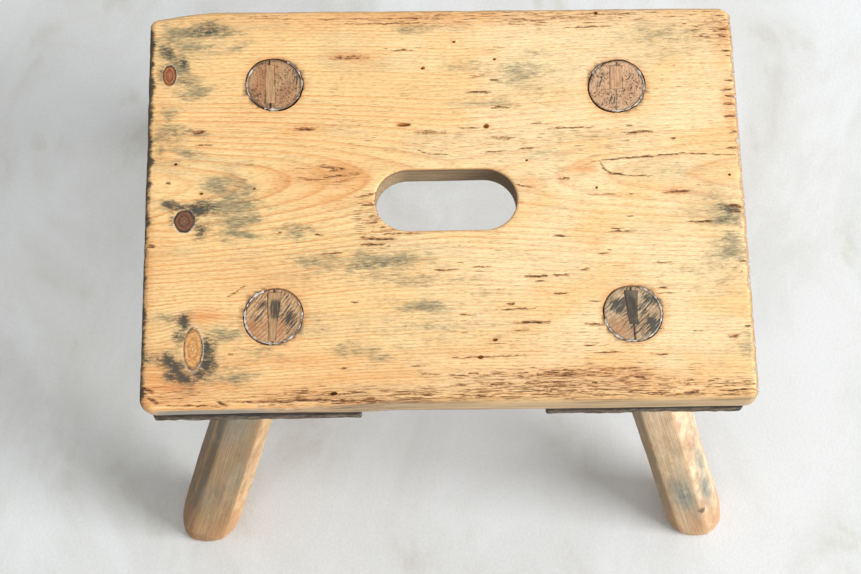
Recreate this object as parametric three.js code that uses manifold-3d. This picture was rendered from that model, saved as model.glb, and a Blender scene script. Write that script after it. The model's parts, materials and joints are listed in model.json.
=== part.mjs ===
// A milking stool: a thick pine plank with a hand slot, two battens nailed under it, and four splayed
// legs whose round tenons come up through batten and plank and are spread by wedges.
// Millimetres, +Z up. The origin is on the floor, midway between the four feet.

import * as THREE from 'three';
import { mergeVertices } from 'three/addons/utils/BufferGeometryUtils.js';
import Module from 'manifold-3d';

const wasm = await Module();
wasm.setup();

// ---------------------------------------------------------------- driving dimensions

const SEAT_TOP = 258;
const SEAT_THICKNESS = 22;
const SEAT_ARRIS = 3.5;
const BATTEN_THICKNESS = 18;
const JOINT_GAP = 0.3;

// The seat is a hand-sawn rectangle of about 405 by 290, so each corner has its own place.
// `along` and `across` are how far the worn round of the corner reaches on the long and the short edge.
const SEAT_CORNERS = {
  frontLeft: { x: -206.5, y: -148, along: 9, across: 9 },
  frontRight: { x: 201, y: -144.5, along: 8, across: 8 },
  backRight: { x: 200.5, y: 141.5, along: 11, across: 9 },
  backLeft: { x: -208, y: 144.5, along: 42, across: 12 },
};
const FRONT_EDGE_HOLLOW = { x: -40, y: -144.5 };

const SLOT = { x: -2.6, y: -1.9, length: 96.5, width: 44.5 };

const BATTENS = {
  batten_left: { left: -201, right: -61.5, front: -144, back: 140 },
  batten_right: { left: 62, right: 194, front: -143.5, back: 139 },
};
const BATTEN_CORNER = 3;

const TENON_RADIUS = 19;
const TENON_CLEARANCE = 0.5;
const TENON_RECESS = 0.4;
const LEG_SIDES = 8;
const LEG_FLATS_TOP = 39;
const LEG_FLATS_FOOT = 42;
const LEG_OUTWARD = 68;
const LEG_FORE_AFT = 74;

// Where each tenon comes out on the seat's top, and which way its foot stands out from there.
const LEGS = {
  front_left: { x: -119, y: -84, side: -1, end: -1 },
  front_right: { x: 120, y: -86, side: 1, end: -1 },
  back_left: { x: -120, y: 86, side: -1, end: 1 },
  back_right: { x: 117, y: 81, side: 1, end: 1 },
};

// A wedge is widest at the top and tapers downwards; its two ends can differ in width.
const WEDGES = {
  front_left: { back: 8.5, front: 5, length: 33, shift: 0 },
  front_right: { back: 8, front: 6, length: 23, shift: 4.5 },
  back_left: { back: 7, front: 6.5, length: 28, shift: 0.5 },
  back_right: { back: 8, front: 7.5, length: 17, shift: 6 },
};
const WEDGE_DEPTH = 30;
const WEDGE_TIP = 0.25;
const WEDGE_RECESS = 0.7;
const KERF_WIDTH = 1.2;
const KERF_DEPTH = 34;

const NAIL = { shank: 1.7, head: 4.2, dome: 1.6, point: 6, intoSeat: 14 };
const NAIL_INSET = { side: 16, end: 24 };

const FINISHES = {
  seatPine: { color: 0xd9a868, roughness: 0.55, metalness: 0 },
  battenPine: { color: 0x7b7264, roughness: 0.8, metalness: 0 },
  legWood: { color: 0xb39c74, roughness: 0.65, metalness: 0 },
  wedgeWood: { color: 0x9a7a55, roughness: 0.7, metalness: 0 },
  nailIron: { color: 0x3a332e, roughness: 0.75, metalness: 0.8 },
};

// ---------------------------------------------------------------- levels worked out from them

const SEAT_BOTTOM = SEAT_TOP - SEAT_THICKNESS;
const BATTEN_TOP = SEAT_BOTTOM - JOINT_GAP;
const BATTEN_BOTTOM = BATTEN_TOP - BATTEN_THICKNESS;
const SHOULDER = BATTEN_BOTTOM - JOINT_GAP;
const ROUND_SIDES = 32;
const REACH = 60;

// ---------------------------------------------------------------- helpers

function solidOf(geometry) {
  const bare = geometry.clone();
  bare.deleteAttribute('normal');
  bare.deleteAttribute('uv');
  const merged = mergeVertices(bare);
  return new wasm.Manifold(new wasm.Mesh({
    numProp: 3,
    vertProperties: new Float32Array(merged.attributes.position.array),
    triVerts: new Uint32Array(merged.index.array),
  }));
}

function geometryOf(solid) {
  const mesh = solid.getMesh();
  const geometry = new THREE.BufferGeometry();
  geometry.setAttribute('position', new THREE.BufferAttribute(mesh.vertProperties, 3));
  geometry.setIndex(new THREE.BufferAttribute(mesh.triVerts, 1));
  geometry.computeVertexNormals();
  return geometry;
}

function makeMesh(name, geometry, finish) {
  const mesh = new THREE.Mesh(geometry, new THREE.MeshStandardMaterial(finish));
  mesh.name = name;
  return mesh;
}

// A cylinder or frustum whose axis is Z, from z = 0 up, with a flat side facing the front when it has corners.
function upright(bottomRadius, topRadius, height, sides) {
  return new THREE.CylinderGeometry(topRadius, bottomRadius, height, sides)
    .rotateY(Math.PI / sides)
    .rotateX(Math.PI / 2)
    .translate(0, 0, height / 2);
}

// A slab wide enough to hold a whole leg, used to trim one level at its two heights.
function trimSlab(bottom, top) {
  return solidOf(new THREE.BoxGeometry(400, 400, top - bottom).translate(0, 0, (top + bottom) / 2));
}

// ---------------------------------------------------------------- legs and their places

function footOf(leg) {
  return new THREE.Vector3(leg.x + leg.side * LEG_OUTWARD, leg.y + leg.end * LEG_FORE_AFT, 0);
}

function axisOf(leg) {
  return new THREE.Vector3(leg.x, leg.y, SEAT_TOP).sub(footOf(leg));
}

function leanOf(leg) {
  const up = new THREE.Vector3(0, 0, 1);
  return new THREE.Quaternion().setFromUnitVectors(up, axisOf(leg).normalize());
}

// A leg's geometry is made round its foot, so every piece of a leg shares this shift and lean.
function alongLeg(geometry, leg, distance = 0) {
  return geometry.translate(0, 0, distance).applyQuaternion(leanOf(leg));
}

function legHole(leg) {
  const radius = TENON_RADIUS + TENON_CLEARANCE;
  const foot = footOf(leg);
  const length = axisOf(leg).length();
  const drill = upright(radius, radius, 2 * REACH, ROUND_SIDES);
  return solidOf(alongLeg(drill, leg, length - REACH).translate(foot.x, foot.y, foot.z));
}

// ---------------------------------------------------------------- wedges

// A block whose width falls from the back end to the front end, and from the top down to a thin tip.
function wedgeBlock(wedge, clearance, above) {
  const height = WEDGE_DEPTH + above;
  const block = new THREE.BoxGeometry(1, wedge.length + 2 * clearance, height);
  const position = block.attributes.position;
  for (let i = 0; i < position.count; i += 1) {
    const endWidth = position.getY(i) > 0 ? wedge.back : wedge.front;
    const taper = position.getZ(i) > 0 ? 1 + above * (1 - WEDGE_TIP) / WEDGE_DEPTH : WEDGE_TIP;
    const halfWidth = endWidth * taper / 2 + clearance;
    position.setX(i, Math.sign(position.getX(i)) * halfWidth);
  }
  return block.translate(0, wedge.shift, height / 2 - WEDGE_DEPTH);
}

function wedgeGeometry(leg, wedge) {
  const length = axisOf(leg).length();
  const block = solidOf(alongLeg(wedgeBlock(wedge, 0, 10), leg, length));
  return geometryOf(block.intersect(trimSlab(0, SEAT_TOP - WEDGE_RECESS)));
}

// ---------------------------------------------------------------- leg with its tenon

function legGeometry(leg, wedge) {
  const length = axisOf(leg).length();
  const cornerFactor = 1 / Math.cos(Math.PI / LEG_SIDES);
  const footRadius = LEG_FLATS_FOOT / 2 * cornerFactor;
  const topRadius = LEG_FLATS_TOP / 2 * cornerFactor;
  const shaft = upright(footRadius, topRadius, length + REACH, LEG_SIDES);
  const shaftSolid = solidOf(alongLeg(shaft, leg, -REACH)).intersect(trimSlab(0, SHOULDER));

  const tenon = upright(TENON_RADIUS, TENON_RADIUS, 2 * REACH, ROUND_SIDES);
  const tenonTrim = trimSlab(SHOULDER - 1, SEAT_TOP - TENON_RECESS);
  const tenonSolid = solidOf(alongLeg(tenon, leg, length - REACH)).intersect(tenonTrim);

  const pocket = solidOf(alongLeg(wedgeBlock(wedge, JOINT_GAP, 10), leg, length));
  const kerf = new THREE.BoxGeometry(KERF_WIDTH, 2 * REACH, 2 * KERF_DEPTH);
  const kerfSolid = solidOf(alongLeg(kerf, leg, length));
  return geometryOf(shaftSolid.add(tenonSolid).subtract(pocket).subtract(kerfSolid));
}

// ---------------------------------------------------------------- nails

function nailPlaces(batten) {
  const places = [];
  for (const x of [batten.left + NAIL_INSET.side, batten.right - NAIL_INSET.side]) {
    for (const y of [batten.front + NAIL_INSET.end, batten.back - NAIL_INSET.end]) {
      places.push(new THREE.Vector3(x, y, SHOULDER));
    }
  }
  return places;
}

// A forged nail driven upwards: a domed head below the batten, a round shank and a drawn-out point.
function nailGeometry() {
  const tip = BATTEN_THICKNESS + 2 * JOINT_GAP + NAIL.intoSeat;
  const profile = [
    new THREE.Vector2(0, -NAIL.dome),
    new THREE.Vector2(NAIL.head * 0.6, -NAIL.dome * 0.8),
    new THREE.Vector2(NAIL.head, -NAIL.dome * 0.2),
    new THREE.Vector2(NAIL.head, 0),
    new THREE.Vector2(NAIL.shank, 0),
    new THREE.Vector2(NAIL.shank, tip - NAIL.point),
    new THREE.Vector2(0, tip),
  ];
  return new THREE.LatheGeometry(profile, 12).rotateX(Math.PI / 2);
}

function nailHole(place) {
  const radius = NAIL.shank + JOINT_GAP;
  const depth = BATTEN_THICKNESS + 2 * JOINT_GAP + NAIL.intoSeat + JOINT_GAP;
  return solidOf(upright(radius, radius, depth, 12).translate(place.x, place.y, place.z));
}

// ---------------------------------------------------------------- battens

function battenGeometry(batten) {
  const width = batten.right - batten.left;
  const depth = batten.back - batten.front;
  const outline = new THREE.Shape();
  outline.moveTo(batten.left + BATTEN_CORNER, batten.front);
  outline.lineTo(batten.left + width - BATTEN_CORNER, batten.front);
  outline.quadraticCurveTo(batten.right, batten.front, batten.right, batten.front + BATTEN_CORNER);
  outline.lineTo(batten.right, batten.front + depth - BATTEN_CORNER);
  outline.quadraticCurveTo(batten.right, batten.back, batten.right - BATTEN_CORNER, batten.back);
  outline.lineTo(batten.left + BATTEN_CORNER, batten.back);
  outline.quadraticCurveTo(batten.left, batten.back, batten.left, batten.back - BATTEN_CORNER);
  outline.lineTo(batten.left, batten.front + BATTEN_CORNER);
  outline.quadraticCurveTo(batten.left, batten.front, batten.left + BATTEN_CORNER, batten.front);
  const board = new THREE.ExtrudeGeometry(outline, {
    depth: BATTEN_THICKNESS,
    bevelEnabled: false,
    curveSegments: 3,
  });
  let solid = solidOf(board.translate(0, 0, BATTEN_BOTTOM));
  for (const leg of Object.values(LEGS)) {
    solid = solid.subtract(legHole(leg));
  }
  for (const place of nailPlaces(batten)) {
    solid = solid.subtract(nailHole(place));
  }
  return geometryOf(solid);
}

// ---------------------------------------------------------------- seat plank

function seatOutline() {
  const { frontLeft, frontRight, backRight, backLeft } = SEAT_CORNERS;
  const outline = new THREE.Shape();
  outline.moveTo(frontLeft.x + frontLeft.along, frontLeft.y);
  outline.lineTo(FRONT_EDGE_HOLLOW.x, FRONT_EDGE_HOLLOW.y);
  outline.lineTo(frontRight.x - frontRight.along, frontRight.y);
  outline.quadraticCurveTo(frontRight.x, frontRight.y, frontRight.x, frontRight.y + frontRight.across);
  outline.lineTo(backRight.x, backRight.y - backRight.across);
  outline.quadraticCurveTo(backRight.x, backRight.y, backRight.x - backRight.along, backRight.y);
  outline.lineTo(backLeft.x + backLeft.along, backLeft.y);
  outline.quadraticCurveTo(backLeft.x, backLeft.y, backLeft.x, backLeft.y - backLeft.across);
  outline.lineTo(frontLeft.x, frontLeft.y + frontLeft.across);
  outline.quadraticCurveTo(frontLeft.x, frontLeft.y, frontLeft.x + frontLeft.along, frontLeft.y);
  return outline;
}

function slotPath() {
  const radius = SLOT.width / 2;
  const half = SLOT.length / 2 - radius;
  const path = new THREE.Path();
  path.absarc(SLOT.x + half, SLOT.y, radius, -Math.PI / 2, Math.PI / 2, false);
  path.absarc(SLOT.x - half, SLOT.y, radius, Math.PI / 2, 3 * Math.PI / 2, false);
  return path;
}

function seatGeometry() {
  const outline = seatOutline();
  outline.holes.push(slotPath());
  const plank = new THREE.ExtrudeGeometry(outline, {
    depth: SEAT_THICKNESS - 2 * SEAT_ARRIS,
    curveSegments: 10,
    bevelEnabled: true,
    bevelThickness: SEAT_ARRIS,
    bevelSize: SEAT_ARRIS,
    bevelOffset: -SEAT_ARRIS,
    bevelSegments: 3,
  });
  let solid = solidOf(plank.translate(0, 0, SEAT_BOTTOM + SEAT_ARRIS));
  for (const leg of Object.values(LEGS)) {
    solid = solid.subtract(legHole(leg));
  }
  for (const batten of Object.values(BATTENS)) {
    for (const place of nailPlaces(batten)) {
      solid = solid.subtract(nailHole(place));
    }
  }
  return geometryOf(solid);
}

// ---------------------------------------------------------------- assembly

const stool = new THREE.Group();
stool.add(makeMesh('seat_plank', seatGeometry(), FINISHES.seatPine));

for (const [name, batten] of Object.entries(BATTENS)) {
  stool.add(makeMesh(name, battenGeometry(batten), FINISHES.battenPine));
  nailPlaces(batten).forEach((place, i) => {
    const nail = makeMesh(`${name}_nail_${i + 1}`, nailGeometry(), FINISHES.nailIron);
    nail.position.copy(place);
    stool.add(nail);
  });
}

for (const [place, leg] of Object.entries(LEGS)) {
  const wedge = WEDGES[place];
  const legGroup = new THREE.Group();
  legGroup.position.copy(footOf(leg));
  legGroup.add(makeMesh(`leg_${place}`, legGeometry(leg, wedge), FINISHES.legWood));
  legGroup.add(makeMesh(`wedge_${place}`, wedgeGeometry(leg, wedge), FINISHES.wedgeWood));
  stool.add(legGroup);
}

export default stool;
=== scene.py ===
# %% [markdown]
# # A farmhouse milking stool
# The stool is a thick pine plank with a hand slot, two battens nailed beneath it, and four splayed legs
# whose round tenons come up through the seat and are spread by wedges. The CAD model says where every
# piece is. This lesson makes the pieces as the years have left them: worn arrises, worm tracks, knots,
# blue stain, hand-shaved legs and dirty end grain.

# %% The fixed frame
import math
import random

import bmesh
import bpy
import numpy as np
from mathutils import Matrix, Vector, noise
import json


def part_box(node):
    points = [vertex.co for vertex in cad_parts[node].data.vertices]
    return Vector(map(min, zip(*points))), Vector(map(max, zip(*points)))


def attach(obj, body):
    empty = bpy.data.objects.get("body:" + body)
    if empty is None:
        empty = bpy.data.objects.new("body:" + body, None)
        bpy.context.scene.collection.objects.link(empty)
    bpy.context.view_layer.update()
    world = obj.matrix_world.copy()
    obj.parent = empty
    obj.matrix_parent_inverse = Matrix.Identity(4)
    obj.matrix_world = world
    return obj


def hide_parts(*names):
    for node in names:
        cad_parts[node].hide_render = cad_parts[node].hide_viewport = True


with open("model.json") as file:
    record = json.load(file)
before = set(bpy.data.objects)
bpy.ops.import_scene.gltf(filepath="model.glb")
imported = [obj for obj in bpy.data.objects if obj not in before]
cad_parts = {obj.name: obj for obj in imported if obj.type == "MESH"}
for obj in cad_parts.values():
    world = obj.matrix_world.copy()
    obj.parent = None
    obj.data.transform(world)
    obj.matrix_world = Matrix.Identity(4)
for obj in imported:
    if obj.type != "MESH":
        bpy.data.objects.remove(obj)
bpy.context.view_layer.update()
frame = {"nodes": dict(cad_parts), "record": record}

# %% [markdown]
# ## Places and sizes
# A woodworker thinks in millimetres, so the shapes are drawn in millimetres and each mesh is brought to
# metres as its last step. Every place is read from the CAD model: the plank's box gives its faces, the
# feet are mounts in the record, and each tenon's centre is the middle of its highest points.

# %% Places read from the frame
MM = 0.001
PLACES = ("front_left", "front_right", "back_left", "back_right")


def box_mm(node):
    low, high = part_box(node)
    return low / MM, high / MM


def foot_centre(place):
    for mount in frame["record"]["mounts"]:
        if mount["name"] == "foot_" + place:
            return Vector(mount["pos_m"]) / MM


def tenon_centre(place):
    points = [v.co / MM for v in frame["nodes"]["leg_" + place].data.vertices]
    top = max(p.z for p in points)
    ring = [p for p in points if p.z > top - 0.05]
    xs = [p.x for p in ring]
    ys = [p.y for p in ring]
    return Vector(((min(xs) + max(xs)) / 2, (min(ys) + max(ys)) / 2, top))


seat_low, seat_high = box_mm("seat_plank")
batten_low, _ = box_mm("batten_left")
SEAT_TOP = seat_high.z
SEAT_BOTTOM = seat_low.z
SHOULDER = batten_low.z - 0.3
slot_box = frame["record"]["physics"]["openings"][0]["box_m"]
SLOT_X = (slot_box[0][0] + slot_box[1][0]) / 2 / MM
SLOT_Y = (slot_box[0][1] + slot_box[1][1]) / 2 / MM
SLOT_LENGTH = 96.5
SLOT_WIDTH = 44.5
HOLE_RADIUS = 19.4
TENON_RADIUS = 18.75
feet = {place: foot_centre(place) for place in PLACES}
tenons = {place: tenon_centre(place) for place in PLACES}
for place in PLACES:
    print(place, "tenon at", tenons[place].to_tuple(1), "foot at", feet[place].to_tuple(1))

# %% [markdown]
# ## Camera, light and floor
# The stool stands on a pale floor and is seen from above its front edge. A long lens from one and a half
# metres up keeps the seat nearly square. One broad soft light stands to the right like a window, so the
# left arrises and the left ends of holes fall into shade, and a pale world fills the shadows.

# %% Camera
CAMERA_AT = Vector((-19.4, -519.4, 1513.7))
CAMERA_DOWN = math.radians(70.11)
CAMERA_YAW = math.radians(0.655)
CAMERA_ROLL = math.radians(-0.293)
IMAGE_WIDTH = 861
FOCAL_LENGTH_IN_IMAGE_WIDTHS = 1998.3 / IMAGE_WIDTH

camera_data = bpy.data.cameras.new("camera")
camera_data.sensor_fit = "HORIZONTAL"
camera_data.sensor_width = 36
camera_data.lens = 36 * FOCAL_LENGTH_IN_IMAGE_WIDTHS
camera = bpy.data.objects.new("camera", camera_data)
bpy.context.scene.collection.objects.link(camera)
turn = Matrix.Rotation(-CAMERA_YAW, 4, "Z")
tilt = Matrix.Rotation(math.pi / 2 - CAMERA_DOWN, 4, "X")
roll = Matrix.Rotation(CAMERA_ROLL, 4, "Z")
camera.matrix_world = Matrix.Translation(CAMERA_AT * MM) @ turn @ tilt @ roll
bpy.context.scene.camera = camera
bpy.context.scene.view_settings.view_transform = "Standard"
print("lens", round(camera_data.lens, 1), "mm")


# %% Lights
def area_light(name, at, aim, size, watts, colour):
    data = bpy.data.lights.new(name, "AREA")
    data.shape = "RECTANGLE"
    data.size, data.size_y = size
    data.energy = watts
    data.color = colour
    lamp = bpy.data.objects.new(name, data)
    lamp.location = at
    lamp.rotation_euler = (Vector(aim) - Vector(at)).to_track_quat("-Z", "Y").to_euler()
    bpy.context.scene.collection.objects.link(lamp)
    return lamp


area_light("window", (4.6, -1.5, 2.35), (0, 0, 0.1), (3.0, 2.6), 376, (1.0, 0.99, 0.98))
area_light("sky", (0.2, 0.4, 2.7), (0, 0, 0.1), (2.6, 2.6), 9, (0.95, 0.98, 1.0))

world = bpy.data.worlds.new("pale_room")
bpy.context.scene.world = world
world.use_nodes = True
world.node_tree.nodes["Background"].inputs["Color"].default_value = (0.98, 0.965, 0.93, 1)
world.node_tree.nodes["Background"].inputs["Strength"].default_value = 0.6

# %% [markdown]
# ## A small kit for finishes
# Every finish below is a node tree, and they all need the same few moves: read an attribute that was
# painted on the mesh, stretch a noise along the grain, turn a number into a mask, and lay one colour over
# another. A short class with one method for each move keeps the recipes readable, because each recipe
# then reads as a list of layers from the bare wood up.


# %% Finish kit
def paint(red, green, blue):
    """A colour from its 0 to 255 screen values, as the linear values that shaders use."""
    values = [c / 255 for c in (red, green, blue)]
    linear = [c / 12.92 if c <= 0.04045 else ((c + 0.055) / 1.055) ** 2.4 for c in values]
    return (*linear, 1.0)


class Finish:
    """One material and the moves that build it. A value is a number, a colour or another node's output."""

    def __init__(self, name):
        self.material = bpy.data.materials.new(name)
        self.material.use_nodes = True
        self.nodes = self.material.node_tree.nodes
        self.links = self.material.node_tree.links
        self.shader = self.nodes["Principled BSDF"]
        self.place = self.nodes.new("ShaderNodeTexCoord").outputs["Object"]

    def put(self, socket, value):
        if isinstance(value, bpy.types.NodeSocket):
            self.links.new(value, socket)
        else:
            socket.default_value = value

    def node(self, kind, inputs, output=0, **settings):
        """Adds a node, sets it, fills its first inputs in turn and returns one output."""
        node = self.nodes.new("ShaderNode" + kind)
        for name, value in settings.items():
            setattr(node, name, value)
        for socket, value in zip(node.inputs, inputs):
            self.put(socket, value)
        return node.outputs[output]

    def attribute(self, name, output="Fac"):
        return self.node("Attribute", [], output, attribute_name=name)

    def math(self, operation, first, second=0.0):
        return self.node("Math", [first, second], operation=operation)

    def times(self, first, second):
        return self.math("MULTIPLY", first, second)

    def plus(self, first, second):
        return self.math("ADD", first, second)

    def minus(self, first, second):
        return self.math("SUBTRACT", first, second)

    def sway(self, noise, amount):
        """A noise brought down to swing evenly about zero, and made larger."""
        return self.times(self.minus(noise, 0.5), amount)

    def stretched(self, scale, place=None):
        """The place, scaled differently along each axis, so a noise that reads it becomes streaks."""
        return self.node("VectorMath", [place or self.place, scale], operation="MULTIPLY")

    def noise(self, scale, detail=3.0, roughness=0.55, place=None, distortion=0.0):
        node = self.nodes.new("ShaderNodeTexNoise")
        self.put(node.inputs["Vector"], self.stretched(scale, place))
        node.inputs["Scale"].default_value = 1.0
        node.inputs["Detail"].default_value = detail
        node.inputs["Roughness"].default_value = roughness
        node.inputs["Distortion"].default_value = distortion
        return node.outputs["Fac"]

    def chance(self, value):
        """A random number from 0 to 1 that stays the same for the same value."""
        node = self.nodes.new("ShaderNodeTexWhiteNoise")
        node.noise_dimensions = "1D"
        self.put(node.inputs["W"], value)
        return node.outputs["Value"]

    def between(self, value, low, high, to_low=0.0, to_high=1.0):
        """A soft mask: to_low where value is at low, to_high where it is at high, smooth in between."""
        node = self.nodes.new("ShaderNodeMapRange")
        node.interpolation_type = "SMOOTHSTEP"
        self.put(node.inputs["Value"], value)
        node.inputs["From Min"].default_value = low
        node.inputs["From Max"].default_value = high
        node.inputs["To Min"].default_value = to_low
        node.inputs["To Max"].default_value = to_high
        return node.outputs["Result"]

    def ramp(self, value, stops):
        node = self.nodes.new("ShaderNodeValToRGB")
        self.put(node.inputs["Fac"], value)
        elements = node.color_ramp.elements
        while len(elements) < len(stops):
            elements.new(0.5)
        for element, (position, colour) in zip(elements, stops):
            element.position = position
            element.color = colour
        return node.outputs["Color"]

    def mix(self, amount, under, over, blend="MIX"):
        node = self.nodes.new("ShaderNodeMix")
        node.data_type = "RGBA"
        node.blend_type = blend
        self.put(node.inputs["Factor"], amount)
        self.put(node.inputs[6], under)
        self.put(node.inputs[7], over)
        return node.outputs[2]

    def lay(self, amount, over, blend="MIX"):
        """Lays another colour over the finish so far, as much as amount says."""
        self.colour = self.mix(amount, self.colour, over, blend)

    def close(self, roughness, height, bump_mm, gloss=0.5):
        """Joins the colour, the roughness and a bump of that height to the shader."""
        self.put(self.shader.inputs["Base Color"], self.colour)
        self.put(self.shader.inputs["Roughness"], roughness)
        self.shader.inputs["Specular IOR Level"].default_value = gloss
        bump = self.nodes.new("ShaderNodeBump")
        bump.inputs["Distance"].default_value = bump_mm * MM
        bump.inputs["Strength"].default_value = 1.0
        self.put(bump.inputs["Height"], height)
        self.links.new(bump.outputs["Normal"], self.shader.inputs["Normal"])
        return self.material


print("finish kit ready")

# %% [markdown]
# The floor is poured concrete, pale and faintly mottled. Two noises of very different sizes are enough: a
# broad one for the cloudy patches and a fine one for the grit. A few darker smudges come from a
# thresholded noise between them.


# %% Floor
def floor_finish():
    finish = Finish("pale_concrete")
    cloud = finish.noise((3.0, 3.0, 3.0), detail=4)
    trowel = finish.noise((11.0, 7.0, 9.0), detail=5, roughness=0.6, distortion=0.6)
    smudge = finish.between(finish.noise((16.0, 11.0, 9.0), detail=3), 0.60, 0.72)
    grit = finish.noise((420.0, 420.0, 420.0), detail=2)
    finish.colour = finish.ramp(cloud, [(0.3, paint(208, 210, 209)), (0.7, paint(219, 222, 224))])
    finish.lay(finish.between(trowel, 0.42, 0.62, 0.0, 0.55), paint(228, 232, 236))
    finish.lay(finish.between(trowel, 0.44, 0.3, 0.0, 0.4), paint(184, 181, 168))
    finish.lay(finish.times(smudge, 0.4), paint(178, 174, 158))
    finish.lay(0.05, finish.ramp(grit, [(0.3, paint(150, 150, 150)), (0.7, paint(255, 255, 255))]))
    return finish.close(0.75, grit, 0.15, gloss=0.3)


floor_mesh = bpy.data.meshes.new("floor")
bm = bmesh.new()
bmesh.ops.create_grid(bm, x_segments=4, y_segments=4, size=4.0)
bm.to_mesh(floor_mesh)
bm.free()
floor_mesh.materials.append(floor_finish())
floor = bpy.data.objects.new("floor", floor_mesh)
bpy.context.scene.collection.objects.link(floor)
print("floor", tuple(round(side, 1) for side in floor.dimensions))

# %% [markdown]
# ## Bench tools
# Each piece is made like its real one: a blank is cut out, holes are bored, faces are sawn. `saw` cuts a
# solid along a plane and closes the cut, `carve` is the exact Boolean, `slice_up` cuts a surface into
# small facets without changing its shape, and `finish_piece` brings the mesh to metres, shades it,
# attaches it to the root body and hides the CAD node it stands for.


# %% Bench tools
def everything(bm):
    return bm.verts[:] + bm.edges[:] + bm.faces[:]


def saw(bm, point, normal):
    """Cuts the solid along a plane, keeps the side that the normal points away from, and closes it."""
    cut = bmesh.ops.bisect_plane(
        bm, geom=everything(bm), dist=1e-4, plane_co=point, plane_no=normal, clear_outer=True
    )
    rim = [part for part in cut["geom_cut"] if isinstance(part, bmesh.types.BMEdge)]
    return bmesh.ops.edgeloop_fill(bm, edges=rim)["faces"]


def faces_above(bm, level):
    """The faces that lie wholly above a height, with their edges and corners."""
    faces = [face for face in bm.faces if min(v.co.z for v in face.verts) > level]
    edges = {edge for face in faces for edge in face.edges}
    verts = {vert for face in faces for vert in face.verts}
    return list(verts) + list(edges) + faces


def slice_up(bm, axis, low, high, step, above=-math.inf):
    """Cuts the faces above a level with parallel planes, so that they can be worn and dented later."""
    count = max(1, round((high - low) / step))
    direction = Vector([float(i == axis) for i in range(3)])
    for i in range(1, count):
        at = direction * (low + (high - low) * i / count)
        geometry = everything(bm) if above == -math.inf else faces_above(bm, above)
        bmesh.ops.bisect_plane(bm, geom=geometry, dist=1e-4, plane_co=at, plane_no=direction)


def soften(bm, edges, offset, segments):
    """Rounds edges over. One segment makes a flat chamfer."""
    bmesh.ops.bevel(
        bm, geom=edges, offset=offset, segments=segments, profile=0.5, affect="EDGES", material=-1
    )


def as_object(bm, name):
    mesh = bpy.data.meshes.new(name)
    bm.to_mesh(mesh)
    thing = bpy.data.objects.new(name, mesh)
    bpy.context.scene.collection.objects.link(thing)
    return thing


def carve(bm, tool, operation="DIFFERENCE"):
    """Cuts tool out of bm, or joins it on, with the exact Boolean, and returns the new bmesh."""
    body = as_object(bm, "carve_body")
    knife = as_object(tool, "carve_tool")
    modifier = body.modifiers.new("carve", "BOOLEAN")
    modifier.object = knife
    modifier.operation = operation
    modifier.solver = "EXACT"
    result = bmesh.new()
    result.from_object(body, bpy.context.evaluated_depsgraph_get())
    for thing in (body, knife):
        mesh = thing.data
        bpy.data.objects.remove(thing)
        bpy.data.meshes.remove(mesh)
    bm.free()
    tool.free()
    return result


def settle(bm):
    """Merges stray doubles, splits every many-sided face into triangles, and turns the faces outwards."""
    bmesh.ops.remove_doubles(bm, verts=bm.verts[:], dist=0.01)
    crowded = [face for face in bm.faces if len(face.verts) > 4]
    bmesh.ops.triangulate(bm, faces=crowded)
    bmesh.ops.recalc_face_normals(bm, faces=bm.faces[:])


def finish_piece(name, bm, materials, node, sharp=40):
    bmesh.ops.scale(bm, vec=(MM, MM, MM), verts=bm.verts[:])
    piece = as_object(bm, name)
    bm.free()
    for material in materials:
        piece.data.materials.append(material)
    piece.data.shade_smooth()
    piece.data.set_sharp_from_angle(angle=math.radians(sharp))
    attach(piece, "root")
    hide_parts(node)
    triangles = sum(len(face.vertices) - 2 for face in piece.data.polygons)
    print(name, triangles, "triangles")
    return piece


def store(piece, name, values, kind="FLOAT"):
    """Paints one number, or one vector, on each vertex for the finish to read."""
    layer = piece.data.attributes.new(name, kind, "POINT")
    layer.data.foreach_set("value" if kind == "FLOAT" else "vector", np.asarray(values, np.float32).ravel())


def points_of(bm):
    return np.array([v.co[:] for v in bm.verts])


def wander(points, size, seed, octaves=2):
    """Smooth noise from -1 to 1 at each point, with lumps about size millimetres across."""
    shift = Vector((seed * 17.3, seed * 5.1, seed * 9.7))
    return np.array([noise.fractal(Vector(p) / size + shift, 1.0, 2.0, octaves) for p in points])


print("bench tools ready")

# %% [markdown]
# ## How a leg leans
# A leg's own straight frame has its axis on Z with the foot at the bottom. `lean` turns that frame to the
# splay between foot and tenon, and the same matrix bores the hole, shapes the leg and sets its wedge, so
# all three line up.


# %% Lean of each leg
def lean(place):
    axis = tenons[place] - feet[place]
    turn = Vector((0, 0, 1)).rotation_difference(axis.normalized())
    return Matrix.Translation(feet[place]) @ turn.to_matrix().to_4x4()


def leg_length(place):
    return (tenons[place] - feet[place]).length


def rough_cylinder(bm, radius, low, high, segments, matrix, waver=0.0, seed=0):
    """A cylinder from low to high along its own axis. Waver makes it as round as a hand-bored hole."""
    made = bmesh.ops.create_cone(
        bm, cap_ends=True, segments=segments, radius1=radius, radius2=radius, depth=high - low,
        matrix=Matrix.Translation((0, 0, (low + high) / 2)),
    )
    for vert in made["verts"]:
        angle = math.atan2(vert.co.y, vert.co.x)
        rim = noise.noise(Vector((math.cos(angle) * 2, math.sin(angle) * 2, seed)))
        vert.co.xy *= 1 + waver * rim / radius
    bmesh.ops.transform(bm, matrix=matrix, verts=made["verts"])
    return made["verts"]


for place in PLACES:
    print(place, "leg is", round(leg_length(place), 1), "mm long on its axis")

# %% [markdown]
# ## The seat plank
# The plank starts as a box whose four upright edges are pulled to the CAD corners, because it was sawn by
# hand and isn't quite square. The back left corner has been knocked off in a long shallow slope, so it is
# sawn first and then rounded. Bevels make the worn corners and arrises, and one Boolean bores the four
# leg holes, the hand slot, and the flight holes that beetles left.

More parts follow.
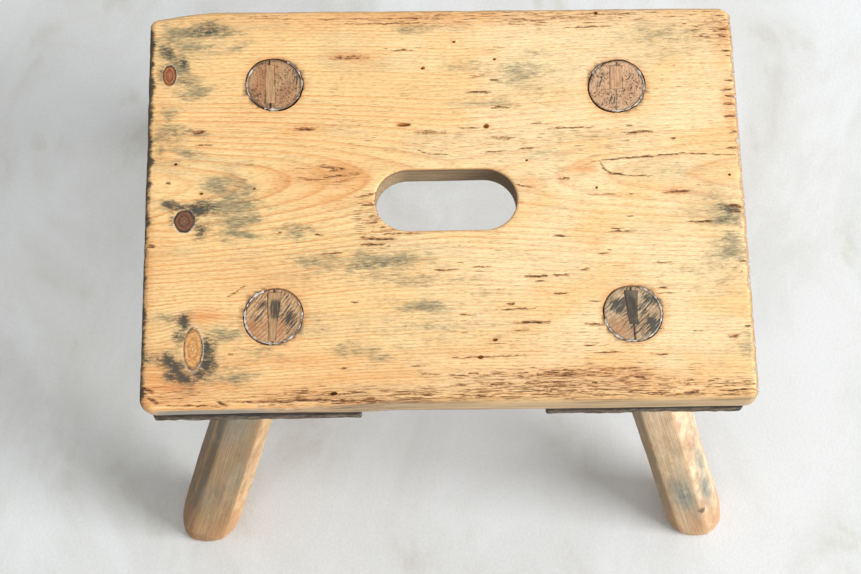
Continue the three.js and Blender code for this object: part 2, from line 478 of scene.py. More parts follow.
# %% Plank blank
CORNERS = {
    (-1, -1): (-206.5, -146.5),
    (1, -1): (201.0, -144.5),
    (1, 1): (200.5, 141.5),
    (-1, 1): (-208.0, 144.5),
}
CORNER_ROUNDS = {(-1, -1): 9.0, (1, -1): 7.0, (1, 1): 10.0}
# The knocked corner's cut passes through a point with a slope, and its two ends are rounded.
KNOCKED_POINT = (-208.0, 137.9)
KNOCKED_SLOPE = (38.0, 6.6)
KNOCKED_ROUNDS = (5.0, 15.0)
TOP_ARRIS = 4.2
BOTTOM_ARRIS = 2.2
SLOT_ARRIS = 1.7


def upright_edges(bm):
    return [e for e in bm.edges if abs(e.verts[0].co.z - e.verts[1].co.z) > 1]


def plank_blank():
    bm = bmesh.new()
    bmesh.ops.create_cube(bm, size=2)
    for vert in bm.verts:
        x, y = CORNERS[(round(vert.co.x), round(vert.co.y))]
        vert.co = (x, y, SEAT_TOP if vert.co.z > 0 else SEAT_BOTTOM)
    along, across = KNOCKED_SLOPE
    saw(bm, (*KNOCKED_POINT, 0), Vector((-across, along, 0)).normalized())
    for edge in upright_edges(bm):
        x, y = edge.verts[0].co.xy
        side = (1 if x > 0 else -1, 1 if y > 0 else -1)
        if side == (-1, 1):
            radius = KNOCKED_ROUNDS[0] if x < -200 else KNOCKED_ROUNDS[1]
        else:
            radius = CORNER_ROUNDS[side]
        soften(bm, [edge], radius, 6)
    for level, arris, segments in ((SEAT_TOP, TOP_ARRIS, 4), (SEAT_BOTTOM, BOTTOM_ARRIS, 2)):
        rim = [e for e in bm.edges if all(abs(v.co.z - level) < 0.01 for v in e.verts)]
        soften(bm, rim, arris, segments)
    return bm


blank = plank_blank()
print("plank blank", len(blank.verts), "vertices")

# %% [markdown]
# Old pine is full of holes. The big ones here are real geometry: a round flight hole, a slit where two
# tracks met, and a scatter of pinholes. Each is given as its place, its half length along the grain and
# its half width, all in millimetres.

# %% Holes through and into the plank
BORES = [
    (26, 52, 2.1, 2.0), (-31, 54, 5.4, 1.5), (28, -103, 2.0, 1.2), (-17, 97, 1.7, 1.2), (5, 117, 1.5, 0.9),
    (100, 5, 1.0, 1.0), (53, 26, 1.0, 0.9), (191, 13, 1.1, 1.0), (18, -115, 2.0, 1.5),
    (-79, -138, 2.6, 1.3), (-169, 5, 1.5, 0.9), (-187, 27, 1.3, 1.1), (105, 138, 1.8, 1.3),
    (33, 103, 1.2, 0.9), (-133, 8, 1.4, 0.7),
]
BORE_DEPTH = 6


def stadium(bm, length, width, low, high, centre):
    made = bmesh.ops.create_cube(bm, size=1)
    bmesh.ops.scale(bm, vec=(length, width, high - low), verts=made["verts"])
    bmesh.ops.translate(bm, vec=(*centre, (low + high) / 2), verts=made["verts"])
    sides = [e for e in upright_edges(bm) if e.verts[0] in made["verts"]]
    soften(bm, sides, width / 2 - 0.05, 12)


def plank_tools():
    tool = bmesh.new()
    stadium(tool, SLOT_LENGTH, SLOT_WIDTH, SEAT_BOTTOM - 5, SEAT_TOP + 5, (SLOT_X, SLOT_Y))
    for number, place in enumerate(PLACES):
        length = leg_length(place)
        rough_cylinder(tool, HOLE_RADIUS, length - 40, length + 20, 56, lean(place), 0.5, number)
    for x, y, half_length, half_width in BORES:
        bore = rough_cylinder(tool, 1.0, -BORE_DEPTH, 2, 10, Matrix.Translation((x, y, SEAT_TOP)))
        middle = Matrix.Translation((-x, -y, 0))
        bmesh.ops.scale(tool, vec=(half_length, half_width, 1), verts=bore, space=middle)
    return tool


plank = carve(blank, plank_tools())


def at_slot(vert):
    near_x = abs(vert.co.x - SLOT_X) < SLOT_LENGTH / 2 + 1
    return near_x and abs(vert.co.y - SLOT_Y) < SLOT_WIDTH / 2 + 1


def all_at(verts, level):
    return all(abs(vert.co.z - level) < 0.01 for vert in verts)


slot_rim = [
    e for e in plank.edges
    if len(e.link_faces) == 2 and e.calc_face_angle() > 0.6 and all(at_slot(v) for v in e.verts)
    and (all_at(e.verts, SEAT_TOP) or all_at(e.verts, SEAT_BOTTOM))
]
soften(plank, slot_rim, SLOT_ARRIS, 3)
print("bored plank", len(plank.verts), "vertices,", len(slot_rim), "slot rim edges rounded")

# %% [markdown]
# To carry wear, the plank is cut into small facets: coarse slices everywhere, and a finer net along the
# grain on the top. Around every gouge the net is finer still, so that a one millimetre worm track is a
# real groove. The gouges that give this seat its character are listed, and the many small ones
# in the worm-eaten front strip and along the back edge are scattered with a seeded random generator.

# %% Gouges and tracks
# Each is (x, y, length, width, darkness) in millimetres. A sixth number is its rise along the length.
GOUGES = [
    (-172, 51, 8, 2.0, 0.9), (-99, 52, 13, 2.2, 1.0), (-69, 106, 26, 3.2, 0.7), (-83, 136, 14, 1.2, 0.9),
    (-40, 136, 70, 1.0, 0.8), (-42, 132, 62, 1.0, 0.9), (32, 87, 6, 1.4, 0.8), (20, 90, 12, 2.4, 0.55, 2),
    (21, 78, 16, 1.6, 0.9), (-32, 111, 14, 1.4, 0.8), (36, 66, 12, 1.7, 0.9), (-12, 48, 22, 3.2, 0.65),
    (14, 51, 16, 1.4, 0.8), (38, 43, 16, 2.0, 0.75), (60, 54, 8, 1.4, 0.9), (124, 137, 14, 1.4, 0.8),
    (85, 135, 38, 1.1, 0.7), (98, 127, 34, 1.2, 0.8, 1), (85, 50, 28, 1.2, 0.85),
    (130, 46, 20, 1.8, 1.0, 1), (124, 51, 4, 1.3, 0.9), (154, 41, 4, 1.3, 0.9), (-202, -33, 6, 2.4, 1.0),
    (-192, 13, 4, 1.8, 0.8), (-80, 23, 19, 1.3, 0.95, -2), (-78, 21, 14, 3.2, 0.6),
    (-78, 16.5, 20, 1.3, 0.9, 1.5), (-75, 13, 16, 2.6, 0.62, 2), (-66, 18, 10, 2.4, 0.6),
    (-168, 41, 12, 1.3, 0.8), (-137, 26, 9, 1.3, 0.75), (-94, 14, 14, 1.2, 0.75), (-81, -40, 14, 1.4, 0.9),
    (-96, -21, 3, 1.4, 0.9), (-116, -25, 4, 1.4, 0.9), (-90, -26, 4, 1.4, 0.9), (-57, 2, 13, 1.5, 0.9, 3),
    (-56, -5, 8, 1.3, 0.8), (-54, -18, 10, 2.4, 0.7, 1), (-35, -26, 28, 2.0, 0.62),
    (-49, -30, 21, 1.6, 1.1), (-52, -34, 16, 1.3, 1.05), (-19, 34, 8, 1.1, 0.9, -3),
    (-8, 31.5, 16, 1.1, 0.8, -1), (31, 33, 17, 1.0, 0.8, 1), (54, 35, 12, 1.2, 0.8, 1),
    (51, 7, 13, 1.2, 0.85, -3), (-6, -53, 18, 1.5, 0.8), (19, -51, 14, 1.3, 0.8),
    (57, -58.5, 16, 1.4, 1.1), (60, -62, 10, 1.0, 0.8), (78, 12, 10, 1.2, 0.85, 1), (102, 0, 20, 1.0, 0.8),
    (124, 0, 9, 1.2, 0.75), (157, 1.5, 15, 2.4, 0.8), (150, 0.5, 8, 1.4, 0.95), (115, -27, 20, 1.8, 0.75),
    (112, -25, 10, 1.1, 0.9), (74, -30, 9, 1.4, 0.95), (121, -16, 5, 1.0, 0.8), (89, -54, 7, 1.4, 0.85, 1),
    (73, -58, 10, 1.5, 1.0), (140, -50, 13, 1.1, 0.7), (102, -43, 8, 1.2, 0.65), (170, -21, 18, 1.3, 1.0),
    (193, -10, 11, 2.6, 0.95, -2), (-144, -66, 11, 1.1, 1.0, 7), (-152, -144, 7, 2.0, 1.0, -3),
    (-147, -110, 4, 1.3, 0.9), (-73, -121, 6, 1.3, 0.9), (-65, -75, 5, 1.2, 0.85), (10, -85, 11, 1.2, 1.0),
    (39, -78, 5, 1.8, 1.0), (43, -81.5, 23, 1.2, 0.9, 1), (52, -91, 22, 2.0, 0.95),
    (46, -96.5, 12, 1.3, 0.8), (26, -114.5, 54, 1.2, 0.75, 1), (-24, -120, 12, 1.3, 0.75),
    (-15, -126, 12, 1.2, 0.7), (73, -71, 9, 1.3, 0.9), (95, -77, 10, 1.3, 0.75), (95, -93, 13, 1.8, 0.8),
    (141, -68, 8, 1.8, 0.8), (143, -72, 14, 1.1, 0.65), (186, -103, 8, 2.0, 0.9), (90, -108, 7, 1.4, 0.9),
    (102, -113, 18, 1.4, 0.8, 1), (138, -115, 9, 1.4, 0.9), (115, -124, 22, 1.3, 0.75),
    (74, -128, 13, 2.0, 1.05), (122, -130, 9, 1.8, 1.0), (156, -141, 10, 2.2, 1.1, 1),
    (153, -142.5, 27, 1.4, 0.8), (182, -137, 30, 1.2, 0.8, 1), (185, -140, 24, 1.4, 0.85, 1),
    (-201, -134, 7, 2.6, 1.0, -3), (-198, -141, 8, 2.2, 1.0, -4), (-125, -143, 40, 1.4, 0.9),
    (-95, -142.5, 30, 1.6, 1.0), (-70, -143, 24, 1.4, 0.9), (-170, -145, 36, 1.2, 0.8, -1),
    (-55, -144, 26, 1.5, 0.9),
]
# Notches that splinters have left along the right end: (y, length, width).
END_NOTCHES = [
    (124, 8, 1.6), (107, 7, 1.3), (103, 5, 1.2), (84, 6, 1.4), (77, 9, 1.6), (72, 6, 1.3), (66, 8, 1.6),
    (57, 8, 1.7), (45, 5, 1.2), (33, 8, 1.4), (-14, 7, 1.4), (-50, 5, 1.2), (-96, 5, 1.2),
]
# The long shake on the right opens in a hook and runs out at the end of the plank: width, start, end.
SHAKE = [(1.0, (98, 24.5), (120, 26.5)), (1.6, (118, 26.5), (142, 28)), (1.1, (140, 28), (160, 29.5)),
         (0.9, (158, 29.5), (199, 27.5)), (1.5, (103, 25), (105.5, 19)), (1.5, (104.5, 19.5), (109, 16)),
         (1.8, (108, 16), (119, 14)), (1.0, (117, 14), (138, 13))]

dice = random.Random(7)


def scatter(count, x_range, y_range, lengths, widths, darkness):
    marks = []
    for _ in range(count):
        x = dice.uniform(*x_range)
        y = dice.uniform(*y_range)
        length = dice.uniform(*lengths) * dice.uniform(0.4, 1.0)
        marks.append((x, y, length, dice.uniform(*widths), dice.uniform(*darkness), dice.uniform(-0.4, 0.5)))
    return marks


def shake_marks():
    marks = []
    for width, (x0, y0), (x1, y1) in SHAKE:
        marks.append(((x0 + x1) / 2, (y0 + y1) / 2, abs(x1 - x0) + 1.5, width, 0.95, y1 - y0))
    return marks


def notch_marks():
    return [(198 - length / 2, y, length, width, 1.0, 0) for y, length, width in END_NOTCHES]


galleries = (
    scatter(50, (-120, 60), (-144, -136), (6, 24), (0.7, 1.1), (0.4, 0.85))
    + scatter(45, (0, 65), (-143, -124), (5, 20), (0.7, 1.2), (0.45, 0.95))
    + scatter(60, (64, 140), (-143, -124), (5, 20), (0.7, 1.3), (0.45, 1.0))
    + scatter(22, (140, 199), (-143, -132), (6, 26), (0.7, 1.2), (0.45, 0.9))
    + scatter(36, (-190, 190), (129, 140), (8, 36), (0.7, 1.0), (0.4, 0.8))
    + scatter(20, (165, 199), (118, 136), (6, 18), (0.7, 1.2), (0.45, 0.95))
    + scatter(40, (-10, 196), (-110, 128), (3, 10), (0.7, 1.0), (0.4, 0.75))
    + scatter(18, (-200, -10), (-115, 128), (3, 9), (0.7, 1.0), (0.35, 0.7))
    + scatter(20, (-62, -40), (-36, 4), (4, 12), (0.7, 1.1), (0.5, 0.9))
)
marks = [mark if len(mark) == 6 else (*mark, 0) for mark in GOUGES]
marks += shake_marks() + notch_marks() + galleries
print(len(marks) - len(galleries), "marks by hand,", len(galleries), "scattered worm tracks")


# %% Facets fine enough for the marks
def for_each_mark(x, y, margin, visit):
    """Calls visit(mark, which, depth) with the points near each mark. Depth is 1 on the mark's middle
    line, 0 at its edge and negative outside it."""
    order = np.argsort(x)
    sorted_x = x[order]
    for mark in marks:
        centre_x, centre_y, length, width, _, rise = mark
        reach = length / 2 + margin
        first, last = np.searchsorted(sorted_x, [centre_x - 2 * reach, centre_x + 2 * reach])
        which = order[first:last]
        along = (x[which] - centre_x) / reach
        bend = 0.18 * np.sin(x[which] * 0.4 + centre_y) + 0.1 * np.sin(x[which] * 1.3 + centre_x)
        across = (y[which] - centre_y - rise * along / 2 + bend) / (width / 2 + margin)
        visit(mark, which, 1 - np.sqrt(along**4 + across**2))


def split_edges(bm, chosen, cuts):
    edges = {edge for face in chosen for edge in face.edges}
    bmesh.ops.subdivide_edges(bm, edges=list(edges), cuts=cuts, use_grid_fill=True)
    bmesh.ops.triangulate(bm, faces=[face for face in bm.faces if len(face.verts) > 4])


def faces_near_marks(bm, margin):
    middles = np.array([face.calc_center_median()[:] for face in bm.faces])
    near = np.zeros(len(middles), bool)

    def visit(mark, which, depth):
        near[which] |= depth > 0

    for_each_mark(middles[:, 0], middles[:, 1], margin, visit)
    near &= middles[:, 2] > SEAT_TOP - 3.5
    return [face for face, close_by in zip(bm.faces[:], near) if close_by]


slice_up(plank, 0, seat_low.x, seat_high.x, 5.0)
slice_up(plank, 1, seat_low.y, seat_high.y, 2.5)
slice_up(plank, 2, SEAT_BOTTOM, SEAT_TOP, 4.4)
settle(plank)
split_edges(plank, faces_near_marks(plank, 2.2), 1)
split_edges(plank, faces_near_marks(plank, 0.9), 1)
settle(plank)
print("plank has", len(plank.verts), "vertices for its wear")

# %% [markdown]
# Now the wear goes on. The front edge is pulled to its slightly hollow line first, and its arris is
# rolled over where knees have rubbed it, to the right of the old saw step. Then each vertex moves along
# its normal by what happened there: broad hollows from sitting, knocks along the arrises, grooves at the
# marks, and a bruised ring round each leg hole.

# %% Wear on the plank
FRONT_LINE = [(-207, -1.6), (-115, -1.2), (-60, 0.4), (-40, 1.2), (60, 0.0), (201, -0.6)]
# How far the saw ran under at the left of the front edge.
UNDERCUT = 2.6
GROOVE_DEPTH = 0.8
KNOCK_DEPTH = 0.55
ROLL_DEPTH = 2.6
ROLL_WIDTH = 11


def soft_step(value, low, high):
    t = np.clip((value - low) / (high - low), 0, 1)
    return t * t * (3 - 2 * t)


points = points_of(plank)
shift = np.interp(points[:, 0], *zip(*FRONT_LINE))
at_front = soft_step(points[:, 1], -100, -144)
low_down = soft_step(points[:, 2], SEAT_TOP - 5, SEAT_BOTTOM + 1)
undercut = UNDERCUT * soft_step(points[:, 0], -50, -130) * low_down
points[:, 1] += (shift + undercut) * at_front
x, y, z = points.T

rolled = soft_step(x, -75, -20) * (0.8 + 0.25 * np.sin(x / 23))
from_front = np.clip(y + 145.5, 0, ROLL_WIDTH)
upper = soft_step(z, SEAT_BOTTOM + 6, SEAT_TOP - 3)
points[:, 2] -= ROLL_DEPTH * rolled * (1 - from_front / ROLL_WIDTH) ** 2 * upper

inward = np.minimum.reduce([x - seat_low.x, seat_high.x - x, y + 146.5, 143.5 - y])
on_top = soft_step(z, SEAT_TOP - 1.0, SEAT_TOP - 0.2)
near_top = soft_step(z, SEAT_TOP - 6.5, SEAT_TOP - 3)
arris = soft_step(inward, 9, 2) * soft_step(z, SEAT_TOP - 9, SEAT_TOP - 4)
groove = np.zeros(len(points))
track = np.zeros(len(points))


def dig(mark, which, depth):
    groove[which] = np.maximum(groove[which], np.clip(depth, 0, 1) * min(1.0, mark[3] / 2.0))
    track[which] = np.maximum(track[which], np.clip(0.5 + 0.5 * depth, 0, 1) * mark[4])


for_each_mark(x, y, 0, dig)
groove *= near_top
track *= near_top

hole_distance = np.full(len(points), 99.0)
for place in PLACES:
    centre = tenons[place]
    hole_distance = np.minimum(hole_distance, np.hypot(x - centre.x, y - centre.y) - HOLE_RADIUS)

move = 0.22 * wander(points, 45, 1) + 0.06 * wander(points * [0.25, 1, 1], 6, 2)
move -= KNOCK_DEPTH * arris * np.abs(wander(points, 14, 3, 3))
move -= GROOVE_DEPTH * groove
chipped = 0.5 + 1.3 * np.abs(wander(points, 5, 12, 3))
move -= 0.42 * chipped * soft_step(hole_distance, 2.2, 0.0) * on_top
for vert, place_mm, amount in zip(plank.verts, points, move):
    vert.co = place_mm + np.array(vert.normal) * amount
print("deepest groove", round(float(groove.max() * GROOVE_DEPTH), 2), "mm")

# %% [markdown]
# The pine's figure comes from one idea: a tree ring is a cylinder round the pith. The plank was sawn flat,
# so its face cuts the rings at a slant and shows wide cathedral arches in the middle and close straight
# lines towards the edges. A tree grows less each year, so the rings are wide near the pith and narrow
# outside, and the ring number comes from adding up their widths. The pith is nearer under both ends than
# under the slot, and each knot pushes the rings aside.

# %% Rings, knots and stains on the plank
# How wide the rings are at each distance from the pith.
RING_WIDTHS = [(0, 4.2), (40, 3.7), (70, 2.9), (110, 2.4), (170, 2.1), (260, 2.0)]
PITH_Y = 14.0
# How deep the pith lies below the top, along the plank.
PITH_DEPTH = [
    (-215, 14), (-168, 20), (-130, 24), (-100, 28), (-60, 34), (0, 40), (60, 36), (105, 31), (205, 24),
]
# Each knot is (x, y, half width, half height).
KNOTS = {"amber": (-193, 94, 4.4, 7.6), "dark": (-180, -15, 6.6, 7.6), "pale": (-172, -106, 5.9, 13.8)}
# Blue stain: (x, y, half width, half height, strength).
STAINS = [
    (-178, 126, 34, 9, 1.0), (-166, 128, 14, 5, 1.0), (-196, 114, 7, 9, 1.0), (-186, 100, 10, 8, 1.0),
    (-174, 82, 14, 11, 1.0), (-190, 66, 10, 6, 0.7), (-193, 51, 18, 9, 0.9), (-196, 34, 8, 8, 0.6),
    (-150, 118, 20, 8, 0.5), (-20, 128, 24, 4, 0.7), (12, 97, 22, 8, 0.55), (48, 90, 22, 16, 0.65),
    (28, 70, 30, 5, 0.65), (62, 107, 12, 5, 0.6), (152, 122, 40, 11, 0.62), (143, 116, 9, 5, 0.5),
    (-157, 11, 16, 9, 0.9), (-148, -6, 26, 8, 1.0), (-143, -16, 18, 6, 1.05), (-142, -25, 15, 6, 1.1),
    (-106, -24, 18, 8, 0.72), (-88, -45, 24, 7, 0.8), (-45, -46, 40, 8, 0.9), (-62, -49, 18, 5, 1.0),
    (183, -20, 20, 8, 0.85), (189, -40, 12, 17, 0.9), (192, -11, 8, 5, 1.0), (-18, -78, 24, 6, 0.9),
    (-66, -108, 18, 6, 0.7), (-50, -114, 10, 4, 0.9), (-143, -127, 22, 11, 0.65), (-150, -96, 22, 7, 0.8),
    (-189, -84, 10, 6, 0.75), (-20, -60, 70, 5, 0.55), (150, 18, 50, 8, 0.4), (-176, 34, 14, 5, 0.7),
    (-20, -92, 60, 7, 0.5), (20, -70, 40, 4, 0.4), (110, -84, 20, 4, 0.3), (90, 46, 50, 10, 0.35),
    (70, 30, 26, 6, 0.4), (-130, -110, 24, 8, 0.45), (-92, -88, 22, 12, 0.4), (195, -110, 7, 16, 0.6),
    (-186, 120, 26, 22, 0.75), (-190, 96, 14, 14, 0.6), (-160, 116, 30, 12, 0.45), (-192, 40, 20, 20, 0.5),
    (-147, 0, 20, 26, 0.75), (-170, -104, 30, 26, 0.4), (-158, -122, 26, 12, 0.5),
    (-128, -84, 24, 14, 0.45), (150, 112, 46, 20, 0.4), (60, 88, 50, 30, 0.35), (184, -44, 20, 34, 0.5),
    (-60, -52, 80, 14, 0.45), (150, -60, 50, 30, 0.28), (60, 14, 60, 12, 0.3), (-10, -104, 70, 16, 0.3),
    (178, -10, 30, 20, 0.45),
]
# Black mould beside the knots, in the same five numbers.
MOULD = [
    (-178, -87, 5, 7, 1.3), (-180, -97, 4, 7, 1.1), (-161.5, -106, 5, 8, 1.3), (-163, -117, 6, 7, 1.2),
    (-166, -124, 6, 5, 1.0), (-189, -114, 7, 6, 1.25), (-183, -120, 6, 8, 1.3), (-178, -127, 8, 5, 1.2),
    (-186, -124, 6, 5, 1.0), (-175, -134, 5, 6, 0.6), (-190, -3, 6, 4, 1.1), (-184, -5, 9, 3.5, 1.1),
    (-173, -7, 8, 5, 1.25), (-166, -4, 10, 3.5, 0.9), (-188, -14, 3, 7, 0.8), (-172, -16, 3, 9, 0.8),
    (-169, -23, 4, 7, 1.0), (-164, -19, 3, 5, 0.7), (-185, 103, 7, 6, 0.95), (-199, 96, 3, 7, 0.9),
    (-195, 112, 4, 9, 0.95), (-166, 129, 14, 6, 0.85), (-176, 126, 7, 4, 0.7), (-184, 90, 7, 4, 0.6),
    (-62, -50, 12, 3, 0.5), (-48, -48, 10, 3, 0.4), (187, -12, 8, 4, 0.8), (180, -20, 10, 4, 0.5),
    (-172, 50, 7, 3, 0.8), (-201, -112, 3, 6, 1.0), (-190, 44, 12, 3, 0.5),
]
# Resin and rubbing have warmed these parts.
WARM = [
    (-165, -84, 18, 6, 0.9), (-172, -130, 16, 12, 0.9), (-196, -125, 16, 18, 0.9), (-73, 17, 18, 11, 1.0),
    (-92, 15, 26, 7, 0.8), (92, 20, 10, 6, 0.8), (-99, 52, 18, 4, 0.9), (-63, -126, 30, 8, 0.6),
    (90, -130, 100, 14, 0.5), (157, 2, 14, 6, 0.7), (57, 9, 10, 6, 0.6), (62, -70, 12, 4, 0.5),
    (-196, 60, 8, 40, 0.4), (0, 136, 200, 8, 0.5), (196, 62, 6, 20, 0.9), (-69, 106, 18, 5, 0.7),
    (195, 120, 8, 20, 0.7), (-80, 0, 26, 8, 0.5), (-195, -50, 10, 30, 0.4), (-203, -140, 10, 12, 1.0),
    (-130, -60, 60, 18, 0.35), (-140, 60, 50, 26, 0.25), (-100, -136, 80, 9, 0.5), (-166, -82, 16, 6, 1.0),
    (-110, -114, 70, 11, 0.55), (-60, -126, 70, 9, 0.55), (20, -114, 60, 9, 0.35),
    (-185, -134, 30, 12, 1.1), (-150, -132, 20, 8, 0.7), (-170, -118, 8, 14, 0.9), (-205, -60, 6, 60, 0.6),
]
# Where worm and weather have opened the surface.
WORMY = [
    (-50, -141, 100, 8, 1.0), (-110, -142, 34, 7, 1.0), (75, -134, 95, 15, 0.95), (180, -139, 34, 9, 0.7),
    (60, 136, 160, 9, 0.65), (190, 124, 20, 16, 0.6), (60, 40, 170, 12, 0.4), (-90, 17, 36, 10, 0.5),
    (-53, -15, 15, 22, 0.7), (110, -60, 110, 40, 0.15), (-60, 60, 90, 20, 0.2), (60, -104, 60, 10, 0.35),
    (-180, -138, 26, 8, 0.7),
]


def blobs(shapes, power=2):
    total = np.zeros(len(points))
    bent_x = x + 6 * wander(points * [0.6, 1, 1], 8, 9, 3)
    bent_y = y + 3.5 * wander(points * [0.6, 1, 1], 7, 10, 3)
    for cx, cy, half_x, half_y, strength in shapes:
        stray = min(1.0, half_x / 12)
        near_x = x + stray * (bent_x - x)
        near_y = y + stray * (bent_y - y)
        reach = np.sqrt(((near_x - cx) / half_x) ** 2 + ((near_y - cy) / half_y) ** 2)
        total = np.maximum(total, strength * np.exp(-reach**power * 1.1))
    return total


def ring_number():
    """Distance from the pith counted in rings, with the grain bowing round each knot."""
    slide = 1.2 * wander(points * [0.35, 1, 1], 38, 5) + 0.3 * wander(points * [0.3, 1, 1], 12, 6)
    side = y - PITH_Y - 0.03 * np.clip(x + 60, -200, 0) + slide
    for cx, cy, half_x, half_y in KNOTS.values():
        reach = ((x - cx) / (half_x * 3.0)) ** 2 + ((y - cy) / (half_y * 1.8)) ** 2
        side -= (y - cy) * 0.7 * np.exp(-reach * 1.4)
    depth = np.interp(x, *zip(*PITH_DEPTH)) - (SEAT_TOP - z)
    distances = np.arange(0, 260, 0.5)
    counts = np.cumsum(0.5 / np.interp(distances, *zip(*RING_WIDTHS)))
    return np.interp(np.hypot(side, depth), distances, counts)


normals = np.array([v.normal[:] for v in plank.verts])
lower = soft_step(z, SEAT_TOP - 1.5, SEAT_TOP - 4)
front_face = soft_step(-normals[:, 1], 0.45, 0.9) * lower * (y < -130)
end_face = soft_step(np.abs(normals[:, 0]), 0.5, 0.9) * (np.abs(x) > 180)
back_face = soft_step(normals[:, 1], 0.5, 0.9) * (y > 120)
past_end = np.clip(np.abs(x - SLOT_X) - (SLOT_LENGTH - SLOT_WIDTH) / 2, 0, None)
slot_distance = np.hypot(past_end, y - SLOT_Y) - SLOT_WIDTH / 2
slot_wall = soft_step(slot_distance, 1.6, 0.8) * soft_step(z, SEAT_TOP - 0.5, SEAT_TOP - 1.6)
underside = soft_step(-normals[:, 2], 0.4, 0.8)
rim = soft_step(hole_distance, 1.2 * chipped, 0.0) * on_top
slot_lip = soft_step(slot_distance, 3.5, 1.5) * (1 - slot_wall)
edge = np.clip(4 * normals[:, 2] * (1 - normals[:, 2]), 0, 1) * near_top
flaked = front_face * soft_step(x, -20, -60) * soft_step(x, -150, -110)
# Painted shade: inside the slot the walls darken towards the slot's right end and just under the top.
slot_wall_shade = 0.25 + 0.7 * soft_step(x, SLOT_X - 20, SLOT_X + 48)
slot_wall_shade = np.maximum(slot_wall_shade, soft_step(z, SEAT_TOP - 3.5, SEAT_TOP - 1.0))
pine_values = {
    "ring": ring_number(),
    "stain": np.maximum(blobs(STAINS), 0.3 * soft_step(hole_distance, 4, 0)) * on_top,
    "mould": blobs(MOULD, power=2) * on_top,
    "warm": np.maximum.reduce([
        blobs(WARM), 0.7 * soft_step(hole_distance, 5, 0.5), 0.6 * edge, 0.2 * slot_lip,
    ]),
    "wormy": np.maximum(np.maximum(blobs(WORMY, power=4), 0.35 * edge) * near_top, flaked),
    "track": track,
    "pale": soft_step(x, -110, 90) * on_top,
    "weathered": front_face * soft_step(x, -100, -140) * soft_step(x, -204, -190),
    "olive": np.maximum(front_face * soft_step(x, -120, -60), rolled * soft_step(y, -140, -145.5) * 0.7),
    # Real dirt on the hole rims, the underside, the ends and the back, and painted shade on the slot walls.
    "dirt_and_slot_shade": np.maximum.reduce([slot_wall * 0.9, rim, underside * 0.75, end_face * 0.8, back_face * 0.6]),
    "dirt_darkness_and_slot_shade": np.where(slot_wall > 0.02, slot_wall_shade, 0.45 + 0.45 * (rim > 0.05)),
    # Dirt and painted shade: a dark strip along the left arris, which faces away from the light.
    "left_arris_dirt_and_shade": np.clip(1 - (x - seat_low.x) / 9, 0, 1) * soft_step(y, 137, 126),
    # Weathering and a painted highlight: a pale grey strip along the right arris, which faces the light.
    "right_arris_wear_and_highlight": np.clip(1 - (np.interp(y, [-144, 141], [201, 200]) - x) / 6, 0, 1) * near_top,
}
print("ring numbers run from", [round(float(f(pine_values["ring"])), 1) for f in (np.min, np.max)])

# %% [markdown]
# The seat's finish is waxed pine. From the wood up it has: pale early wood with a thin late-wood line for
# each ring, some years strong and some faint, fibres and flecks along the grain, blue stain feathered into
# streaks, black mould, knots with their own rings and a pale line of wax round them that is a painted
# highlight on one side, brown in every worm track, grey weathering on the front and the ends, dirt and
# painted shade along the left arris, weathering and a painted highlight along the right arris, dirt where
# hands never polished it, and painted shade on the slot walls, darkest at the slot's right end. The wax is
# smoother where the wood is clean.


# %% Waxed pine
KNOT_DEPTH = 30


def knot_layers(finish, height):
    """Lays each knot over the board: its heartwood, its own rings, the dark gap, and a pale line of wax
    round it that is kept to one side as a painted highlight.
    """
    looks = {
        "amber": (paint(182, 112, 62), paint(112, 62, 36), paint(70, 50, 38), "X", 1),
        "dark": (paint(134, 86, 56), paint(84, 54, 38), paint(44, 40, 34), "Y", -1),
        "pale": (paint(232, 172, 106), paint(196, 132, 72), paint(104, 88, 66), "X", 1),
    }
    ragged = finish.noise((240.0, 240.0, 240.0), detail=3)
    mottle = finish.noise((520.0, 900.0, 520.0), detail=3)
    patchy = finish.between(finish.noise((130.0, 130.0, 130.0)), 0.38, 0.6)
    for name, (cx, cy, half_x, half_y) in KNOTS.items():
        heart, dark_ring, gap, highlight_axis, highlight_side = looks[name]
        centre = Vector((cx, cy, SEAT_TOP - 2)) * MM
        offset = finish.node("VectorMath", [finish.place, centre], operation="SUBTRACT")
        sized = finish.stretched([1 / (half * MM) for half in (half_x, half_y, KNOT_DEPTH)], offset)
        length = finish.node("VectorMath", [sized], "Value", operation="LENGTH")
        reach = finish.plus(length, finish.sway(ragged, 0.22))
        wave = finish.math("SINE", finish.times(reach, 15.0))
        core = finish.mix(finish.between(wave, -0.4, 1.0, 0.0, 0.8), heart, dark_ring)
        core = finish.mix(finish.between(mottle, 0.42, 0.6, 0.0, 0.45), core, gap)
        core = finish.mix(finish.between(reach, 0.14, 0.05, 0.0, 0.8), core, paint(220, 196, 160))
        finish.lay(finish.between(reach, 1.06, 0.98), core)
        rim = finish.times(finish.between(reach, 0.88, 1.0), finish.between(reach, 1.16, 1.04))
        rim = finish.times(rim, finish.between(patchy, 0.0, 1.0, 0.35, 1.0))
        finish.lay(rim, gap)
        # Painted highlight: the pale wax line is strongest on one side of the knot, as if it caught the
        # light.
        rim_highlight = finish.times(finish.between(reach, 1.06, 1.12), finish.between(reach, 1.28, 1.16))
        side = finish.times(finish.node("SeparateXYZ", [sized], highlight_axis), highlight_side)
        rim_highlight = finish.times(rim_highlight, finish.between(side, -0.2, 0.8, 0.15, 0.75))
        rim_highlight = finish.times(rim_highlight, finish.between(mottle, 0.4, 0.55))
        finish.lay(rim_highlight, paint(222, 214, 200))
        height = finish.minus(height, finish.times(rim, 1.2))
    return height


